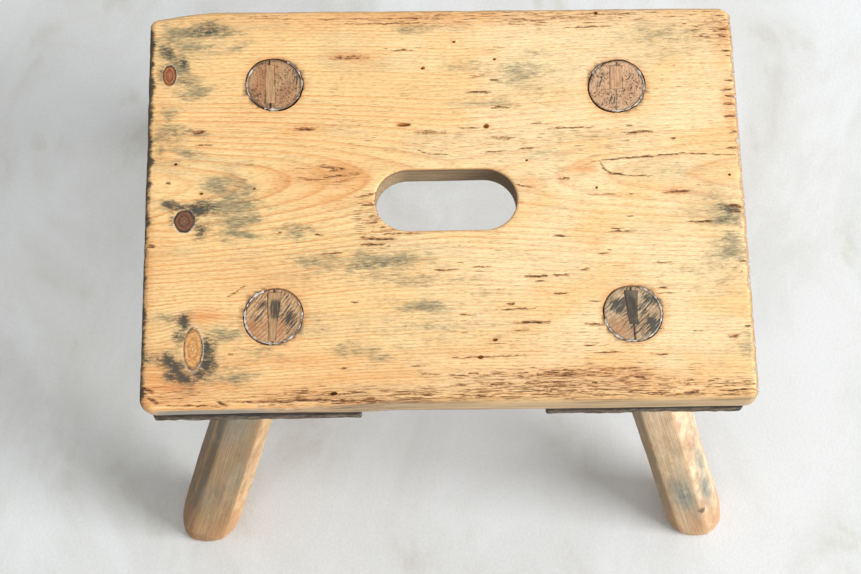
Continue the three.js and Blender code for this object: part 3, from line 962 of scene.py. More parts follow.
def waxed_pine():
    finish = Finish("waxed_pine")
    fibre = finish.noise((55.0, 1900.0, 1900.0), detail=2)
    fleck = finish.noise((240.0, 1500.0, 1500.0), detail=2)
    streak = finish.noise((13.0, 420.0, 420.0), detail=4, roughness=0.6)
    patch = finish.noise((18.0, 30.0, 30.0), detail=4)
    ring = finish.plus(finish.attribute("ring"), finish.times(streak, 0.22))
    phase = finish.math("FRACT", ring)
    year = finish.chance(finish.math("FLOOR", ring))
    early = paint(254, 227, 172)
    late = finish.ramp(phase, [
        (0.0, early), (0.5, paint(252, 219, 160)), (0.78, paint(245, 194, 128)), (0.89, paint(222, 148, 86)),
        (0.95, paint(243, 192, 128)), (1.0, early),
    ])
    strength = finish.between(year, 0.0, 1.0, 0.45, 1.0)
    strength = finish.times(strength, finish.between(patch, 0.3, 0.55, 0.6, 1.0))
    strength = finish.times(strength, finish.between(fibre, 0.3, 0.5, 0.7, 1.0))
    finish.colour = finish.mix(strength, early, late)
    warmth = finish.ramp(patch, [(0.3, paint(242, 210, 168)), (0.65, paint(255, 248, 238))])
    finish.lay(0.45, warmth, "MULTIPLY")
    wash = finish.between(finish.noise((16.0, 60.0, 60.0), detail=5, roughness=0.65), 0.48, 0.66, 0.0, 0.38)
    finish.lay(wash, paint(206, 188, 146))
    bleached = finish.times(finish.attribute("pale"), finish.between(patch, 0.32, 0.6, 0.1, 0.5))
    finish.lay(bleached, paint(255, 236, 194))
    warm = finish.times(finish.attribute("warm"), finish.between(streak, 0.3, 0.65, 0.45, 0.9))
    finish.lay(warm, paint(228, 152, 86))
    grain = finish.times(finish.plus(fibre, fleck), 0.5)
    thread = finish.ramp(grain, [
        (0.38, paint(178, 138, 98)), (0.48, paint(240, 230, 216)), (0.56, paint(255, 255, 255)),
    ])
    finish.lay(0.5, thread, "MULTIPLY")

    stain = finish.attribute("stain")
    cloud = finish.noise((75.0, 170.0, 170.0), detail=4, roughness=0.6)
    speckle = finish.noise((210.0, 900.0, 900.0), detail=3, roughness=0.7)
    level = finish.plus(stain, finish.sway(cloud, 1.3))
    level = finish.plus(level, finish.sway(speckle, 1.2))
    blue = finish.times(finish.between(level, 0.15, 1.0, 0.0, 0.78), finish.between(stain, 0.03, 0.3))
    blue_wood = finish.mix(finish.between(speckle, 0.4, 0.62), paint(140, 136, 108), paint(94, 97, 78))
    finish.lay(blue, blue_wood)
    bloom = finish.noise((260.0, 620.0, 620.0), detail=4, roughness=0.75)
    mouldy = finish.plus(finish.attribute("mould"), finish.sway(bloom, 2.2))
    halo = finish.between(finish.attribute("mould"), 0.02, 0.5, 0.0, 0.4)
    finish.lay(finish.times(halo, finish.between(speckle, 0.36, 0.6)), paint(104, 100, 80))
    black = finish.between(mouldy, 0.2, 1.05, 0.0, 0.92)
    black = finish.times(black, finish.between(finish.attribute("mould"), 0.03, 0.2))
    finish.lay(black, paint(46, 53, 50))

    height = finish.times(finish.between(phase, 0.6, 0.9), 0.3)
    height = knot_layers(finish, height)

    wormy = finish.attribute("wormy")
    dash = finish.noise((85.0, 1500.0, 1500.0), detail=3, roughness=0.65)
    opened = finish.plus(dash, finish.times(wormy, 0.15))
    finish.lay(finish.times(wormy, 0.2), paint(214, 158, 102))
    finish.lay(finish.between(opened, 0.61, 0.74, 0.0, 0.75), paint(158, 102, 60))
    finish.lay(finish.between(opened, 0.68, 0.78, 0.0, 0.85), paint(88, 58, 38))
    flaky = finish.times(finish.between(wormy, 0.3, 0.8), finish.between(opened, 0.5, 0.42))
    finish.lay(finish.times(flaky, 0.6), paint(255, 232, 196))
    ragged = finish.sway(speckle, 2.0)
    ragged = finish.plus(ragged, finish.sway(grain, 1.4))
    torn = finish.plus(finish.attribute("track"), ragged)
    torn = finish.times(torn, finish.between(finish.attribute("track"), 0.0, 0.2))
    finish.lay(finish.between(torn, 0.25, 0.65, 0.0, 0.7), paint(190, 124, 70))
    deep = finish.between(torn, 0.52, 0.86)
    finish.lay(finish.times(deep, 0.92), paint(80, 54, 36))

    layer = finish.noise((20.0, 400.0, 520.0), detail=4, roughness=0.65)
    grey = finish.mix(finish.between(layer, 0.38, 0.6), paint(172, 170, 158), paint(112, 108, 98))
    grey = finish.mix(finish.between(layer, 0.55, 0.66, 0.0, 0.85), grey, paint(112, 80, 54))
    grey = finish.mix(finish.between(speckle, 0.58, 0.7, 0.0, 0.5), grey, paint(74, 62, 50))
    finish.lay(finish.times(finish.attribute("weathered"), 0.92), grey)
    olive = finish.mix(finish.between(streak, 0.35, 0.65), paint(206, 172, 124), paint(128, 104, 74))
    finish.lay(finish.times(finish.attribute("olive"), 0.85), olive)
    # Dark soil on the grimy parts. On the slot walls this is painted shade.
    soil_and_slot_shade = finish.mix(finish.attribute("dirt_darkness_and_slot_shade"), paint(176, 154, 122), paint(66, 52, 40))
    soil_and_slot_shade = finish.mix(finish.between(fibre, 0.4, 0.56, 0.7, 0.0), soil_and_slot_shade, paint(70, 52, 38))
    finish.lay(finish.attribute("dirt_and_slot_shade"), soil_and_slot_shade)
    chewed = finish.noise((60.0, 150.0, 150.0), detail=4, roughness=0.65)
    teeth = finish.plus(finish.times(streak, 0.25), finish.times(chewed, 1.5))
    teeth = finish.minus(teeth, 0.8)
    # Dirt and painted shade on the left arris, made ragged by the chewed noise.
    left = finish.plus(finish.attribute("left_arris_dirt_and_shade"), teeth)
    dirty_shaded_end = finish.mix(finish.between(chewed, 0.36, 0.6), paint(104, 84, 46), paint(44, 42, 30))
    finish.lay(finish.between(left, 0.5, 0.85, 0.0, 0.92), dirty_shaded_end)
    finish.lay(finish.between(finish.attribute("left_arris_dirt_and_shade"), 0.68, 0.9, 0.0, 0.75), paint(74, 60, 36))
    # Right arris: amber, then whitish grey at the edge. This is weathered end grain with a painted
    # highlight.
    right = finish.plus(finish.attribute("right_arris_wear_and_highlight"), teeth)
    finish.lay(finish.between(right, 0.55, 0.75, 0.0, 0.6), paint(164, 122, 80))
    end_wear_and_highlight = finish.mix(finish.between(speckle, 0.42, 0.58), paint(128, 114, 100), paint(190, 190, 190))
    finish.lay(finish.between(right, 0.85, 1.0, 0.0, 0.9), end_wear_and_highlight)

    dull = finish.math("MAXIMUM", finish.attribute("dirt_and_slot_shade"), finish.math("MAXIMUM", blue, deep))
    roughness = finish.between(dull, 0.0, 0.7, 0.4, 0.78)
    roughness = finish.plus(roughness, finish.sway(grain, 0.4))
    height = finish.plus(height, finish.times(grain, 0.9))
    height = finish.minus(height, finish.between(opened, 0.64, 0.8))
    height = finish.minus(height, finish.times(finish.between(torn, 0.3, 0.7), 0.9))
    return finish.close(roughness, height, 0.28, gloss=0.42)


seat = finish_piece("seat", plank, [waxed_pine()], "seat_plank", sharp=50)
for name, values in pine_values.items():
    store(seat, name, values)

# %% [markdown]
# ## Battens
# Each batten is a rough board, never planed, that has hung in the damp under the seat. It starts as the
# CAD box, gets small uneven bevels, is bored for its two legs and four nails, and then its faces are made
# uneven. The front and back ends are torn, because a blunt saw splinters the fibres there.

# %% Batten boards
BATTEN_ARRIS = 1.8
NAIL_SIDE = 16
NAIL_END = 24


def nail_places(low, high):
    return [
        Vector((x, y, SHOULDER))
        for x in (low.x + NAIL_SIDE, high.x - NAIL_SIDE)
        for y in (low.y + NAIL_END, high.y - NAIL_END)
    ]


def batten_board(low, high, places, seed):
    bm = bmesh.new()
    bmesh.ops.create_cube(bm, size=1)
    size = high - low
    bmesh.ops.scale(bm, vec=size, verts=bm.verts[:])
    bmesh.ops.translate(bm, vec=(low + high) / 2, verts=bm.verts[:])
    soften(bm, bm.edges[:], BATTEN_ARRIS, 3)
    tool = bmesh.new()
    for place in places:
        length = leg_length(place)
        rough_cylinder(tool, HOLE_RADIUS, length - 60, length + 5, 48, lean(place), 0.5, seed)
    for at in nail_places(low, high):
        rough_cylinder(tool, 2.1, -2, size.z + 5, 12, Matrix.Translation(at))
    bm = carve(bm, tool)
    slice_up(bm, 0, low.x, high.x, 4.5)
    slice_up(bm, 1, low.y, high.y, 7)
    slice_up(bm, 2, low.z, high.z, 2.6)
    settle(bm)
    points = points_of(bm)
    end = np.minimum(points[:, 1] - low.y, high.y - points[:, 1])
    torn = soft_step(end, 5, 0) * np.abs(wander(points * [1, 0.2, 2.4], 5, seed, 3)) * 1.8
    uneven = 0.45 * wander(points, 30, seed + 1) + 0.2 * wander(points * [1, 0.2, 1], 6, seed + 2)
    for vert, amount, tear in zip(bm.verts, uneven, torn):
        vert.co += vert.normal * amount * (0.4 if vert.normal.z < -0.5 else 1)
        vert.co.y += tear if vert.co.y < (low.y + high.y) / 2 else -tear
    return bm


# %% [markdown]
# Bare softwood that stays damp goes grey from the surface down, so the finish has warm brown only in the
# hollows between the fibres. Its grain runs front to back, and the rings show as arcs on the torn ends.
# A dark band along its top, under the seat, is painted shade.


# %% Weathered batten wood
def batten_finish():
    finish = Finish("weathered_batten")
    fibre = finish.noise((900.0, 22.0, 900.0), detail=4, roughness=0.65)
    streak = finish.noise((160.0, 6.0, 160.0), detail=3)
    ring = finish.plus(finish.attribute("ring"), finish.times(streak, 0.5))
    phase = finish.math("FRACT", ring)
    finish.colour = finish.ramp(phase, [
        (0.0, paint(160, 152, 134)), (0.6, paint(140, 130, 112)), (0.88, paint(94, 82, 68)),
        (1.0, paint(150, 142, 126)),
    ])
    finish.lay(finish.between(streak, 0.45, 0.7, 0.0, 0.6), paint(122, 98, 72))
    thread = finish.between(fibre, 0.35, 0.62)
    finish.lay(finish.between(thread, 0.0, 0.5, 0.55, 0.0), paint(58, 48, 40))
    splinter = finish.noise((70.0, 70.0, 480.0), detail=4, roughness=0.65)
    sawn = finish.times(finish.attribute("end"), finish.between(splinter, 0.46, 0.54, 0.0, 0.75))
    finish.lay(sawn, finish.mix(finish.between(streak, 0.4, 0.6), paint(112, 78, 58), paint(60, 52, 47)))
    # Dark band along the top of the batten: painted shade under the seat.
    finish.lay(finish.times(finish.attribute("dirt_and_shade"), 0.9), paint(44, 38, 34))
    height = finish.plus(thread, finish.times(phase, 0.4))
    return finish.close(0.82, height, 0.45, gloss=0.3)


batten_wood = batten_finish()
for side, seed in (("left", 11), ("right", 23)):
    node = "batten_" + side
    places = ("front_" + side, "back_" + side)
    low, high = box_mm(node)
    bm = batten_board(low, high, places, seed)
    where = points_of(bm)
    centre_x = (low.x + high.x) / 2 + (18 if side == "left" else -9)
    batten = finish_piece(node + "_board", bm, [batten_wood], node, sharp=50)
    store(batten, "ring", np.hypot(where[:, 0] - centre_x, where[:, 2] - low.z + 150) / 2.3)
    # Painted shade: the top 7 to 12 mm of each batten, under the seat, is darkened, with some noise.
    top_edge = soft_step(where[:, 2], high.z - 12, high.z - 7)
    store(batten, "dirt_and_shade", np.clip(top_edge + 0.4 * wander(where, 7, seed + 4), 0, 1))
    store(batten, "end", soft_step(np.minimum(where[:, 1] - low.y, high.y - where[:, 1]), 7, 2))

# %% [markdown]
# ## Legs
# A leg was riven square and its four corners were taken off with a drawknife, so it has eight sides of
# unequal width. A tapered cube with bevelled upright edges is the start. A second small bevel wears the
# eight long edges. The leg is then leaned over and sawn level at the shoulder and the floor. Years on a
# stone floor have rounded its foot, so the lowest rings of points are drawn in towards the leg's axis.

# %% Leg shafts
FOOT_SIDES = {"front_left": 41.5, "front_right": 39.2, "back_left": 41.0, "back_right": 40.0}
TOP_SIDE = 38.6
# How much the drawknife took off each corner, by its side in x and y.
CORNERS_TAKEN = {
    "front_left": {(-1, -1): 6.0, (1, -1): 10.0, (1, 1): 11.0, (-1, 1): 12.5},
    "front_right": {(-1, -1): 7.7, (1, -1): 10.0, (1, 1): 12.0, (-1, 1): 11.0},
    "back_left": {(-1, -1): 10.0, (1, -1): 12.0, (1, 1): 8.5, (-1, 1): 11.0},
    "back_right": {(-1, -1): 12.0, (1, -1): 9.0, (1, 1): 12.0, (-1, 1): 9.5},
}
LEG_TURNS = {"front_left": 0.5, "front_right": -0.5, "back_left": -3.0, "back_right": 5.0}
LEG_ARRIS = 1.2
FOOT_ROUND = 4.5
FOOT_CUTS = (0.5, 1.3, 2.4, 4.5, 8.0, 13.0)
FOOT_REACH = 20.4


def leg_blank(place):
    bm = bmesh.new()
    bmesh.ops.create_cube(bm, size=2)
    for vert in bm.verts:
        half = (FOOT_SIDES[place] if vert.co.z < 0 else TOP_SIDE) / 2
        vert.co = (vert.co.x * half, vert.co.y * half, -20 if vert.co.z < 0 else leg_length(place) + 20)
    for edge in upright_edges(bm):
        corner = (1 if edge.verts[0].co.x > 0 else -1, 1 if edge.verts[0].co.y > 0 else -1)
        soften(bm, [edge], CORNERS_TAKEN[place][corner], 1)
    soften(bm, upright_edges(bm), LEG_ARRIS, 2)
    bmesh.ops.rotate(bm, matrix=Matrix.Rotation(math.radians(LEG_TURNS[place]), 3, "Z"), verts=bm.verts[:])
    return bm


def wear_foot(bm, place):
    """Rounds the rim of the sole, and wears the corners just above it towards a circle."""
    for height in FOOT_CUTS:
        bmesh.ops.bisect_plane(
            bm, geom=everything(bm), dist=1e-4, plane_co=(0, 0, height), plane_no=(0, 0, 1)
        )
    axis = (tenons[place] - feet[place]).normalized()
    for vert in bm.verts:
        if vert.co.z < FOOT_CUTS[-1] + 0.01:
            centre = feet[place] + axis * (vert.co.z / axis.z)
            arm = vert.co - centre
            reach = FOOT_REACH + 0.14 * vert.co.z
            if arm.length > reach:
                arm *= (reach + 0.35 * (arm.length - reach)) / arm.length
            if vert.co.z < FOOT_ROUND:
                drop = FOOT_ROUND - max(vert.co.z, 0.0)
                arm *= 1 - (FOOT_ROUND - math.sqrt(FOOT_ROUND**2 - drop**2)) / arm.length
            vert.co = centre + arm


def leg_shaft(place, seed):
    bm = leg_blank(place)
    slice_up(bm, 2, -20, leg_length(place) + 20, 6)
    wide = [e for e in bm.edges if abs(e.verts[0].co.z - e.verts[1].co.z) < 0.01 and e.calc_length() > 6]
    bmesh.ops.subdivide_edges(bm, edges=wide, cuts=4, use_grid_fill=True)
    bmesh.ops.triangulate(bm, faces=[face for face in bm.faces if len(face.verts) > 4])
    points = points_of(bm)
    uneven = 0.4 * wander(points * [1, 1, 0.4], 18, seed) + 0.14 * wander(points * [1, 1, 0.3], 5, seed + 1)
    for vert, amount in zip(bm.verts, uneven):
        vert.co += vert.normal * amount
    bmesh.ops.transform(bm, matrix=lean(place), verts=bm.verts[:])
    saw(bm, (0, 0, 0), (0, 0, -1))
    saw(bm, (0, 0, SHOULDER), (0, 0, 1))
    wear_foot(bm, place)
    return bm


# %% [markdown]
# The tenon is turned to an easy fit, and its top is pared nearly flush with the seat. A saw kerf runs
# through it from front to back, and the wedge sits in a pocket that narrows downwards. Both are cut with
# the exact Boolean, from shapes in the leg's own frame, and only then is the top sliced fine enough to
# carry the marks of the paring knife. Wax and glue have been pushed into the gap round the tenon and set
# there in thin bright crescents, so they are modelled too, as spun threads that swell and thin out.

# %% Tenons, wedges and old wax
# Each wedge is (width at its back end, width at its front end, length, shift towards the back).
WEDGES = {
    "front_left": (8.5, 5.0, 33, 0.0),
    "front_right": (8.0, 6.0, 23, 4.5),
    "back_left": (7.0, 6.5, 28, 0.5),
    "back_right": (9.5, 8.5, 17, 6.5),
}
# How far each kerf was sawn to one side of the tenon's middle.
KERF_SHIFT = {"front_left": 0.0, "front_right": 0.0, "back_left": -3.0, "back_right": 0.0}
WEDGE_DEPTH = 30
WEDGE_TIP = 0.25
KERF_DEPTH = 34
KERF_WIDTH = {"front_left": 0.5, "front_right": 0.5, "back_left": 0.5, "back_right": 0.25}
TENON_RECESS = 0.25
WEDGE_RECESS = {"front_left": 0.5, "front_right": 0.35, "back_left": 0.35, "back_right": 0.28}
# How far the tenon has shrunk to one side of its hole.
TENON_SHIFT = {
    "front_left": (0.1, 0.1), "front_right": (0.1, 0.0), "back_left": (-0.45, 0.1), "back_right": (0.1, 0.1),
}
# How wide a band of dirt has gathered inside the rim of each tenon.
RIM_DIRT = {"front_left": 1.4, "front_right": 1.4, "back_left": 2.8, "back_right": 1.2}
# Where wax fills the gap round each tenon, in degrees anticlockwise from the right.
WAX_ARCS = {
    "front_left": [(110, 235), (-70, 30), (240, 285)],
    "front_right": [(-80, 75), (190, 275)],
    "back_left": [(-35, 62), (135, 222), (250, 292)],
    "back_right": [(-75, 58), (258, 284), (120, 150)],
}
WAX_THREAD = 0.5
WAX_RADIUS = 19.1


def wedge_block(place, clearance):
    """The wedge in the leg's own frame: widest at the top, and thinner towards its tip."""
    back, front, length, shift = WEDGES[place]
    above = 10
    bm = bmesh.new()
    bmesh.ops.create_cube(bm, size=2)
    for vert in bm.verts:
        width = back if vert.co.y > 0 else front
        share = 1 + above * (1 - WEDGE_TIP) / WEDGE_DEPTH if vert.co.z > 0 else WEDGE_TIP
        vert.co.x = vert.co.x * (width * share / 2 + clearance) + KERF_SHIFT[place]
        vert.co.y = vert.co.y * (length / 2 + clearance) + shift
        vert.co.z = above if vert.co.z > 0 else -WEDGE_DEPTH
    edges = [e for e in bm.edges if abs(e.verts[0].co.z - e.verts[1].co.z) > 20]
    soften(bm, edges, 0.45, 2)
    top = leg_length(place)
    bmesh.ops.transform(bm, matrix=lean(place) @ Matrix.Translation((0, 0, top)), verts=bm.verts[:])
    return bm


def kerf_block(place):
    bm = bmesh.new()
    bmesh.ops.create_cube(bm, size=1)
    bmesh.ops.scale(bm, vec=(KERF_WIDTH[place], 60, 2 * KERF_DEPTH), verts=bm.verts[:])
    centre = Matrix.Translation((KERF_SHIFT[place], 0, leg_length(place)))
    bmesh.ops.transform(bm, matrix=lean(place) @ centre, verts=bm.verts[:])
    return bm


def tenon_blank(place, seed):
    bm = bmesh.new()
    length = leg_length(place)
    shift = Matrix.Translation((*TENON_SHIFT[place], 0))
    rough_cylinder(bm, TENON_RADIUS, length - 48, length + 12, 56, lean(place) @ shift, 0.35, seed + 40)
    cap = saw(bm, (0, 0, SEAT_TOP - TENON_RECESS), (0, 0, 1))
    rim = [e for face in cap for e in face.edges]
    soften(bm, rim, 0.5, 2)
    return bm


def pare_top(bm, place, seed):
    """Slices the tenon's end fine, and lets the knife leave it slightly hollow and scarred."""
    centre = tenons[place]
    slice_up(bm, 0, centre.x - 20, centre.x + 20, 1.6, SEAT_TOP - 2.5)
    slice_up(bm, 1, centre.y - 20, centre.y + 20, 1.6, SEAT_TOP - 2.5)
    settle(bm)
    points = points_of(bm)
    face = soft_step(points[:, 2], SEAT_TOP - 1.6, SEAT_TOP - 0.6)
    hacked = 0.16 * wander(points, 7, seed + 50) + 0.12 * wander(points, 2.5, seed + 51)
    for vert, amount in zip(bm.verts, hacked * face):
        vert.co.z += amount


def add_wax(bm, place):
    """Spins a thin round thread along each arc of the gap, and lets its height waver."""
    centre = tenons[place]
    before = set(bm.verts)
    for start, end in WAX_ARCS[place]:
        ring = bmesh.ops.create_circle(
            bm, segments=6, radius=WAX_THREAD,
            matrix=Matrix.Translation((WAX_RADIUS, 0, 0)) @ Matrix.Rotation(math.pi / 2, 4, "X"),
        )["verts"]
        bmesh.ops.rotate(bm, matrix=Matrix.Rotation(math.radians(start), 3, "Z"), verts=ring)
        edges = {e for v in ring for e in v.link_edges}
        bmesh.ops.spin(
            bm, geom=ring + list(edges), axis=(0, 0, 1), cent=(0, 0, 0), angle=math.radians(end - start),
            steps=max(4, (end - start) // 5), use_merge=False,
        )
    made = [v for v in bm.verts if v not in before]
    open_edges = {e for v in made for e in v.link_edges if e.is_boundary}
    bmesh.ops.holes_fill(bm, edges=list(open_edges), sides=6)
    for vert in made:
        spine = vert.co.xy.normalized() * WAX_RADIUS
        swell = 0.3 + 2.6 * max(0, noise.noise(Vector((*spine, centre.x)) * 0.31) + 0.16)
        vert.co.xy = spine + (vert.co.xy - spine) * swell
        vert.co.z = vert.co.z * min(1.0, swell) + 0.12 * noise.noise(Vector(vert.co) * 0.9)
    bmesh.ops.translate(bm, vec=(centre.x, centre.y, SEAT_TOP - 0.2), verts=made)
    faces = {face for vert in made for face in vert.link_faces}
    bmesh.ops.recalc_face_normals(bm, faces=list(faces))
    for face in faces:
        face.material_index = 2


def leg(place, seed):
    bm = carve(leg_shaft(place, seed), tenon_blank(place, seed), "UNION")
    bm = carve(bm, wedge_block(place, 0.1))
    bm = carve(bm, kerf_block(place))
    pare_top(bm, place, seed)
    for face in bm.faces:
        face.material_index = int(face.calc_center_median().z > SEAT_TOP - 2.2 and face.normal.z > 0.3)
    add_wax(bm, place)
    return bm


# %% [markdown]
# The legs are another softwood, paler inside and browned by handling. Their finish reads each point in
# the leg's own straight frame, so the streaks follow the leg however it leans. Damp has left grey-blue
# patches on them, and two small knots show on the front right leg near its foot. End grain needs no
# second drawing: the same long fibres, cut across, are specks. The pared tops differ, so each has its own
# tint, mould, worm specks and direction of tool marks.

# %% Leg finishes
# Grey-blue damp and dark knots on each leg: (x, y, height, reach across, reach along, strength).
LEG_DAMP = {
    "front_left": [(-8, -20, 175, 14, 40, 0.9), (6, -20, 95, 12, 30, 0.5), (-12, -20, 70, 12, 22, 0.55),
                   (18, -12, 150, 5, 22, 0.4)],
    "front_right": [(-1, -20, 60, 9, 28, 1.3), (17, -14, 58, 5, 24, 1.4), (18, -12, 96, 5, 20, 1.0),
                    (-18, -12, 190, 10, 40, 0.5), (19, -6, 130, 5, 16, 0.7)],
    "back_left": [(0, 20, 90, 14, 34, 0.7), (-18, 0, 160, 12, 30, 0.5)],
    "back_right": [(10, 18, 130, 12, 30, 0.7), (20, 0, 60, 10, 26, 0.5)],
}
LEG_KNOTS = {"front_right": [(10, -19, 35, 4, 4.5, 1.0), (15, -15, 20, 3.5, 4, 0.45)]}
# Each leg's colours: its broad front face, the faces turned to the left in painted shade, and the faces
# turned to the right in painted light. The front left leg is darker and the front right paler, partly as
# painted light from the right.
LEG_TINTS = {
    "front_left": (paint(156, 133, 98), paint(116, 96, 70), paint(208, 172, 128)),
    "front_right": (paint(208, 183, 148), paint(150, 128, 98), paint(220, 200, 168)),
    "back_left": (paint(192, 162, 120), paint(150, 126, 94), paint(226, 188, 138)),
    "back_right": (paint(198, 168, 126), paint(156, 132, 98), paint(230, 194, 146)),
}
# Between which two arrises, as angles about the leg, its broad front face lies.
FRONT_FACE = {
    "front_left": (-127, -63), "front_right": (-121, -64),
    "back_left": (-120, -60), "back_right": (-120, -60),
}


def leg_finish(place):
    plain, shade, bright = LEG_TINTS[place]
    finish = Finish("leg_wood_" + place)
    stock = finish.attribute("stock", "Vector")
    fibre = finish.noise((900.0, 900.0, 30.0), detail=3, roughness=0.6, place=stock)
    streak = finish.noise((150.0, 150.0, 9.0), detail=4, place=stock)
    patch = finish.noise((60.0, 60.0, 26.0), detail=4, place=stock)
    fleck = finish.noise((300.0, 300.0, 160.0), detail=3, place=stock)
    # Painted light and shade: faces turned to the right take the lit colour, faces turned to the left the
    # shaded one.
    light_and_patch = finish.plus(finish.attribute("facet_light"), finish.sway(patch, 0.5))
    finish.colour = finish.ramp(light_and_patch, [(0.05, shade), (0.5, plain), (0.95, bright)])
    phase = finish.math("FRACT", finish.plus(finish.attribute("ring"), finish.times(streak, 0.6)))
    finish.lay(finish.between(phase, 0.55, 0.95, 0.0, 0.16), paint(170, 122, 82))
    finish.lay(finish.between(patch, 0.5, 0.66, 0.0, 0.55), shade)
    finish.lay(finish.between(streak, 0.52, 0.7, 0.0, 0.4), bright)
    rubbed = finish.times(finish.attribute("edge"), finish.between(patch, 0.35, 0.6, 0.1, 0.5))
    finish.lay(rubbed, paint(214, 162, 110))
    mottle = finish.noise((170.0, 170.0, 60.0), detail=4, roughness=0.6, place=stock)
    blotch = finish.times(finish.attribute("facet_light"), finish.between(mottle, 0.46, 0.6, 0.0, 0.5))
    finish.lay(blotch, paint(172, 126, 90))
    finish.lay(finish.between(mottle, 0.46, 0.34, 0.0, 0.22), bright)
    damp = finish.times(finish.attribute("damp"), finish.between(streak, 0.3, 0.56, 0.35, 0.85))
    damp = finish.times(damp, finish.between(fleck, 0.3, 0.55, 0.5, 1.0))
    finish.lay(damp, paint(126, 131, 122))
    rusty = finish.times(finish.attribute("foot"), finish.between(patch, 0.3, 0.6, 0.3, 0.9))
    finish.lay(finish.times(rusty, 0.7), paint(190, 140, 98))
    finish.lay(finish.between(fleck, 0.6, 0.72, 0.0, 0.4), paint(140, 96, 62))
    thread = finish.between(fibre, 0.36, 0.62)
    fine = finish.ramp(thread, [(0.0, paint(168, 142, 112)), (1.0, paint(255, 255, 255))])
    finish.lay(0.14, fine, "MULTIPLY")
    knot = finish.plus(finish.attribute("knot"), finish.sway(fleck, 0.5))
    finish.lay(finish.between(knot, 0.3, 0.7, 0.0, 0.85), paint(92, 68, 52))
    # Dirt round the tenon rim and kerf, and painted shade on the leg just under the batten.
    finish.lay(finish.times(finish.attribute("dirt_and_shade"), 0.85), paint(92, 76, 58))
    height = finish.plus(finish.times(thread, 0.4), finish.times(fleck, 0.5))
    return finish.close(0.62, height, 0.3, gloss=0.35)


# Pale wood, brown wood, how strong the rings are, how much worm, and the slant of the knife in degrees.
TENON_LOOKS = {
    "front_left": (paint(208, 174, 130), paint(160, 100, 56), 0.85, 0.1, 52),
    "front_right": (paint(202, 178, 142), paint(156, 112, 72), 0.6, 0.0, 46),
    "back_left": (paint(196, 156, 114), paint(148, 100, 66), 0.35, 0.85, 84),
    "back_right": (paint(218, 180, 142), paint(176, 132, 98), 0.25, 1.0, 76),
}
# Mould and red-brown blushes on each end: (x, y, reach in x, reach in y, strength) in the leg's own frame.
TENON_MOULD = {
    "front_left": [
        (1, 6, 4.5, 9, 1.2), (-8, 9.5, 3.5, 6, 0.9), (-10.5, -1, 3.5, 4, 0.9), (10.5, -1.5, 4, 9, 1.2),
        (8, 12, 4, 4, 0.5),
    ],
    "front_right": [
        (-9, 5.5, 7, 6, 1.3), (12, 10, 7, 5, 1.1), (12.5, -7.5, 6, 6.5, 1.3), (6, 3, 4, 9, 0.8),
        (8, -13, 5, 5, 0.8), (-1, 5, 5, 12, 1.2), (1, -8, 7, 6, 0.9),
    ],
    "back_left": [(14, 4, 3, 8, 0.5), (-4, -12, 6, 4, 0.4)],
    "back_right": [(-3, -9, 6, 4, 0.6), (-13, 6, 4, 8, 0.5), (0, 16, 3, 2, 0.8)],
}
TENON_BLUSH = {
    "front_left": [(-12, -9, 8, 7, 0.6), (3, -12, 5, 6, 0.4)],
    "front_right": [(-9, -11, 9, 7, 0.7), (-3, -2, 2, 3, 1.0)],
    "back_left": [(-9, 0, 5, 14, 0.8), (-3, 13, 7, 5, 0.4), (9, -9, 7, 7, 0.3)],
    "back_right": [(10, 0, 6, 14, 0.3), (-8, -4, 6, 9, 0.3)],
}


def tenon_finish(place):
    pale, brown, figure, worm_amount, slant = TENON_LOOKS[place]
    finish = Finish("tenon_end_" + place)
    stock = finish.attribute("stock", "Vector")
    turned = finish.node("Mapping", [stock, (0, 0, 0), (0, 0, math.radians(-slant))])
    speck = finish.noise((620.0, 620.0, 30.0), detail=3, roughness=0.7, place=stock)
    patch = finish.noise((140.0, 140.0, 20.0), detail=4, place=stock)
    scored = finish.noise((150.0, 1050.0, 60.0), detail=4, roughness=0.6, place=turned)
    phase = finish.math("FRACT", finish.plus(finish.attribute("ring"), finish.times(patch, 0.5)))
    lines = finish.ramp(phase, [(0.0, pale), (0.5, pale), (0.86, brown), (1.0, pale)])
    finish.colour = finish.mix(figure, pale, lines)
    finish.lay(finish.between(patch, 0.48, 0.64, 0.0, 0.5), brown)
    finish.lay(finish.times(finish.attribute("blush"), 0.75), paint(172, 104, 62))
    finish.lay(finish.between(speck, 0.34, 0.52, 0.55, 0.0), brown)
    bloom = finish.plus(scored, finish.times(finish.attribute("mould"), 0.2))
    bloom = finish.between(bloom, 0.56, 0.7)
    bloom = finish.times(bloom, finish.between(finish.attribute("mould"), 0.04, 0.3))
    finish.lay(finish.times(bloom, 0.9), paint(50, 56, 54))
    worm = finish.noise((820.0, 620.0, 100.0), detail=4, roughness=0.75, place=stock)
    worm = finish.times(finish.between(worm, 0.53, 0.62), finish.between(patch, 0.36, 0.5))
    finish.lay(finish.times(worm, worm_amount), paint(70, 50, 38))
    finish.lay(finish.times(finish.attribute("dirt_and_shade"), 0.8), paint(66, 50, 38))
    height = finish.minus(finish.times(speck, 0.6), finish.times(worm, worm_amount))
    height = finish.plus(height, finish.times(scored, 0.6))
    return finish.close(finish.between(patch, 0.3, 0.6, 0.35, 0.65), height, 0.35, gloss=0.5)


def wax_finish():
    finish = Finish("old_wax")
    cloud = finish.noise((330.0, 330.0, 330.0), detail=4, roughness=0.6)
    finish.colour = finish.ramp(cloud, [
        (0.36, paint(120, 102, 84)), (0.46, paint(176, 166, 154)), (0.62, paint(212, 210, 208)),
    ])
    return finish.close(0.25, cloud, 0.3, gloss=0.6)


WEDGE_TINTS = {
    "front_left": paint(192, 156, 112), "front_right": paint(98, 96, 84),
    "back_left": paint(200, 160, 116), "back_right": paint(214, 172, 132),
}


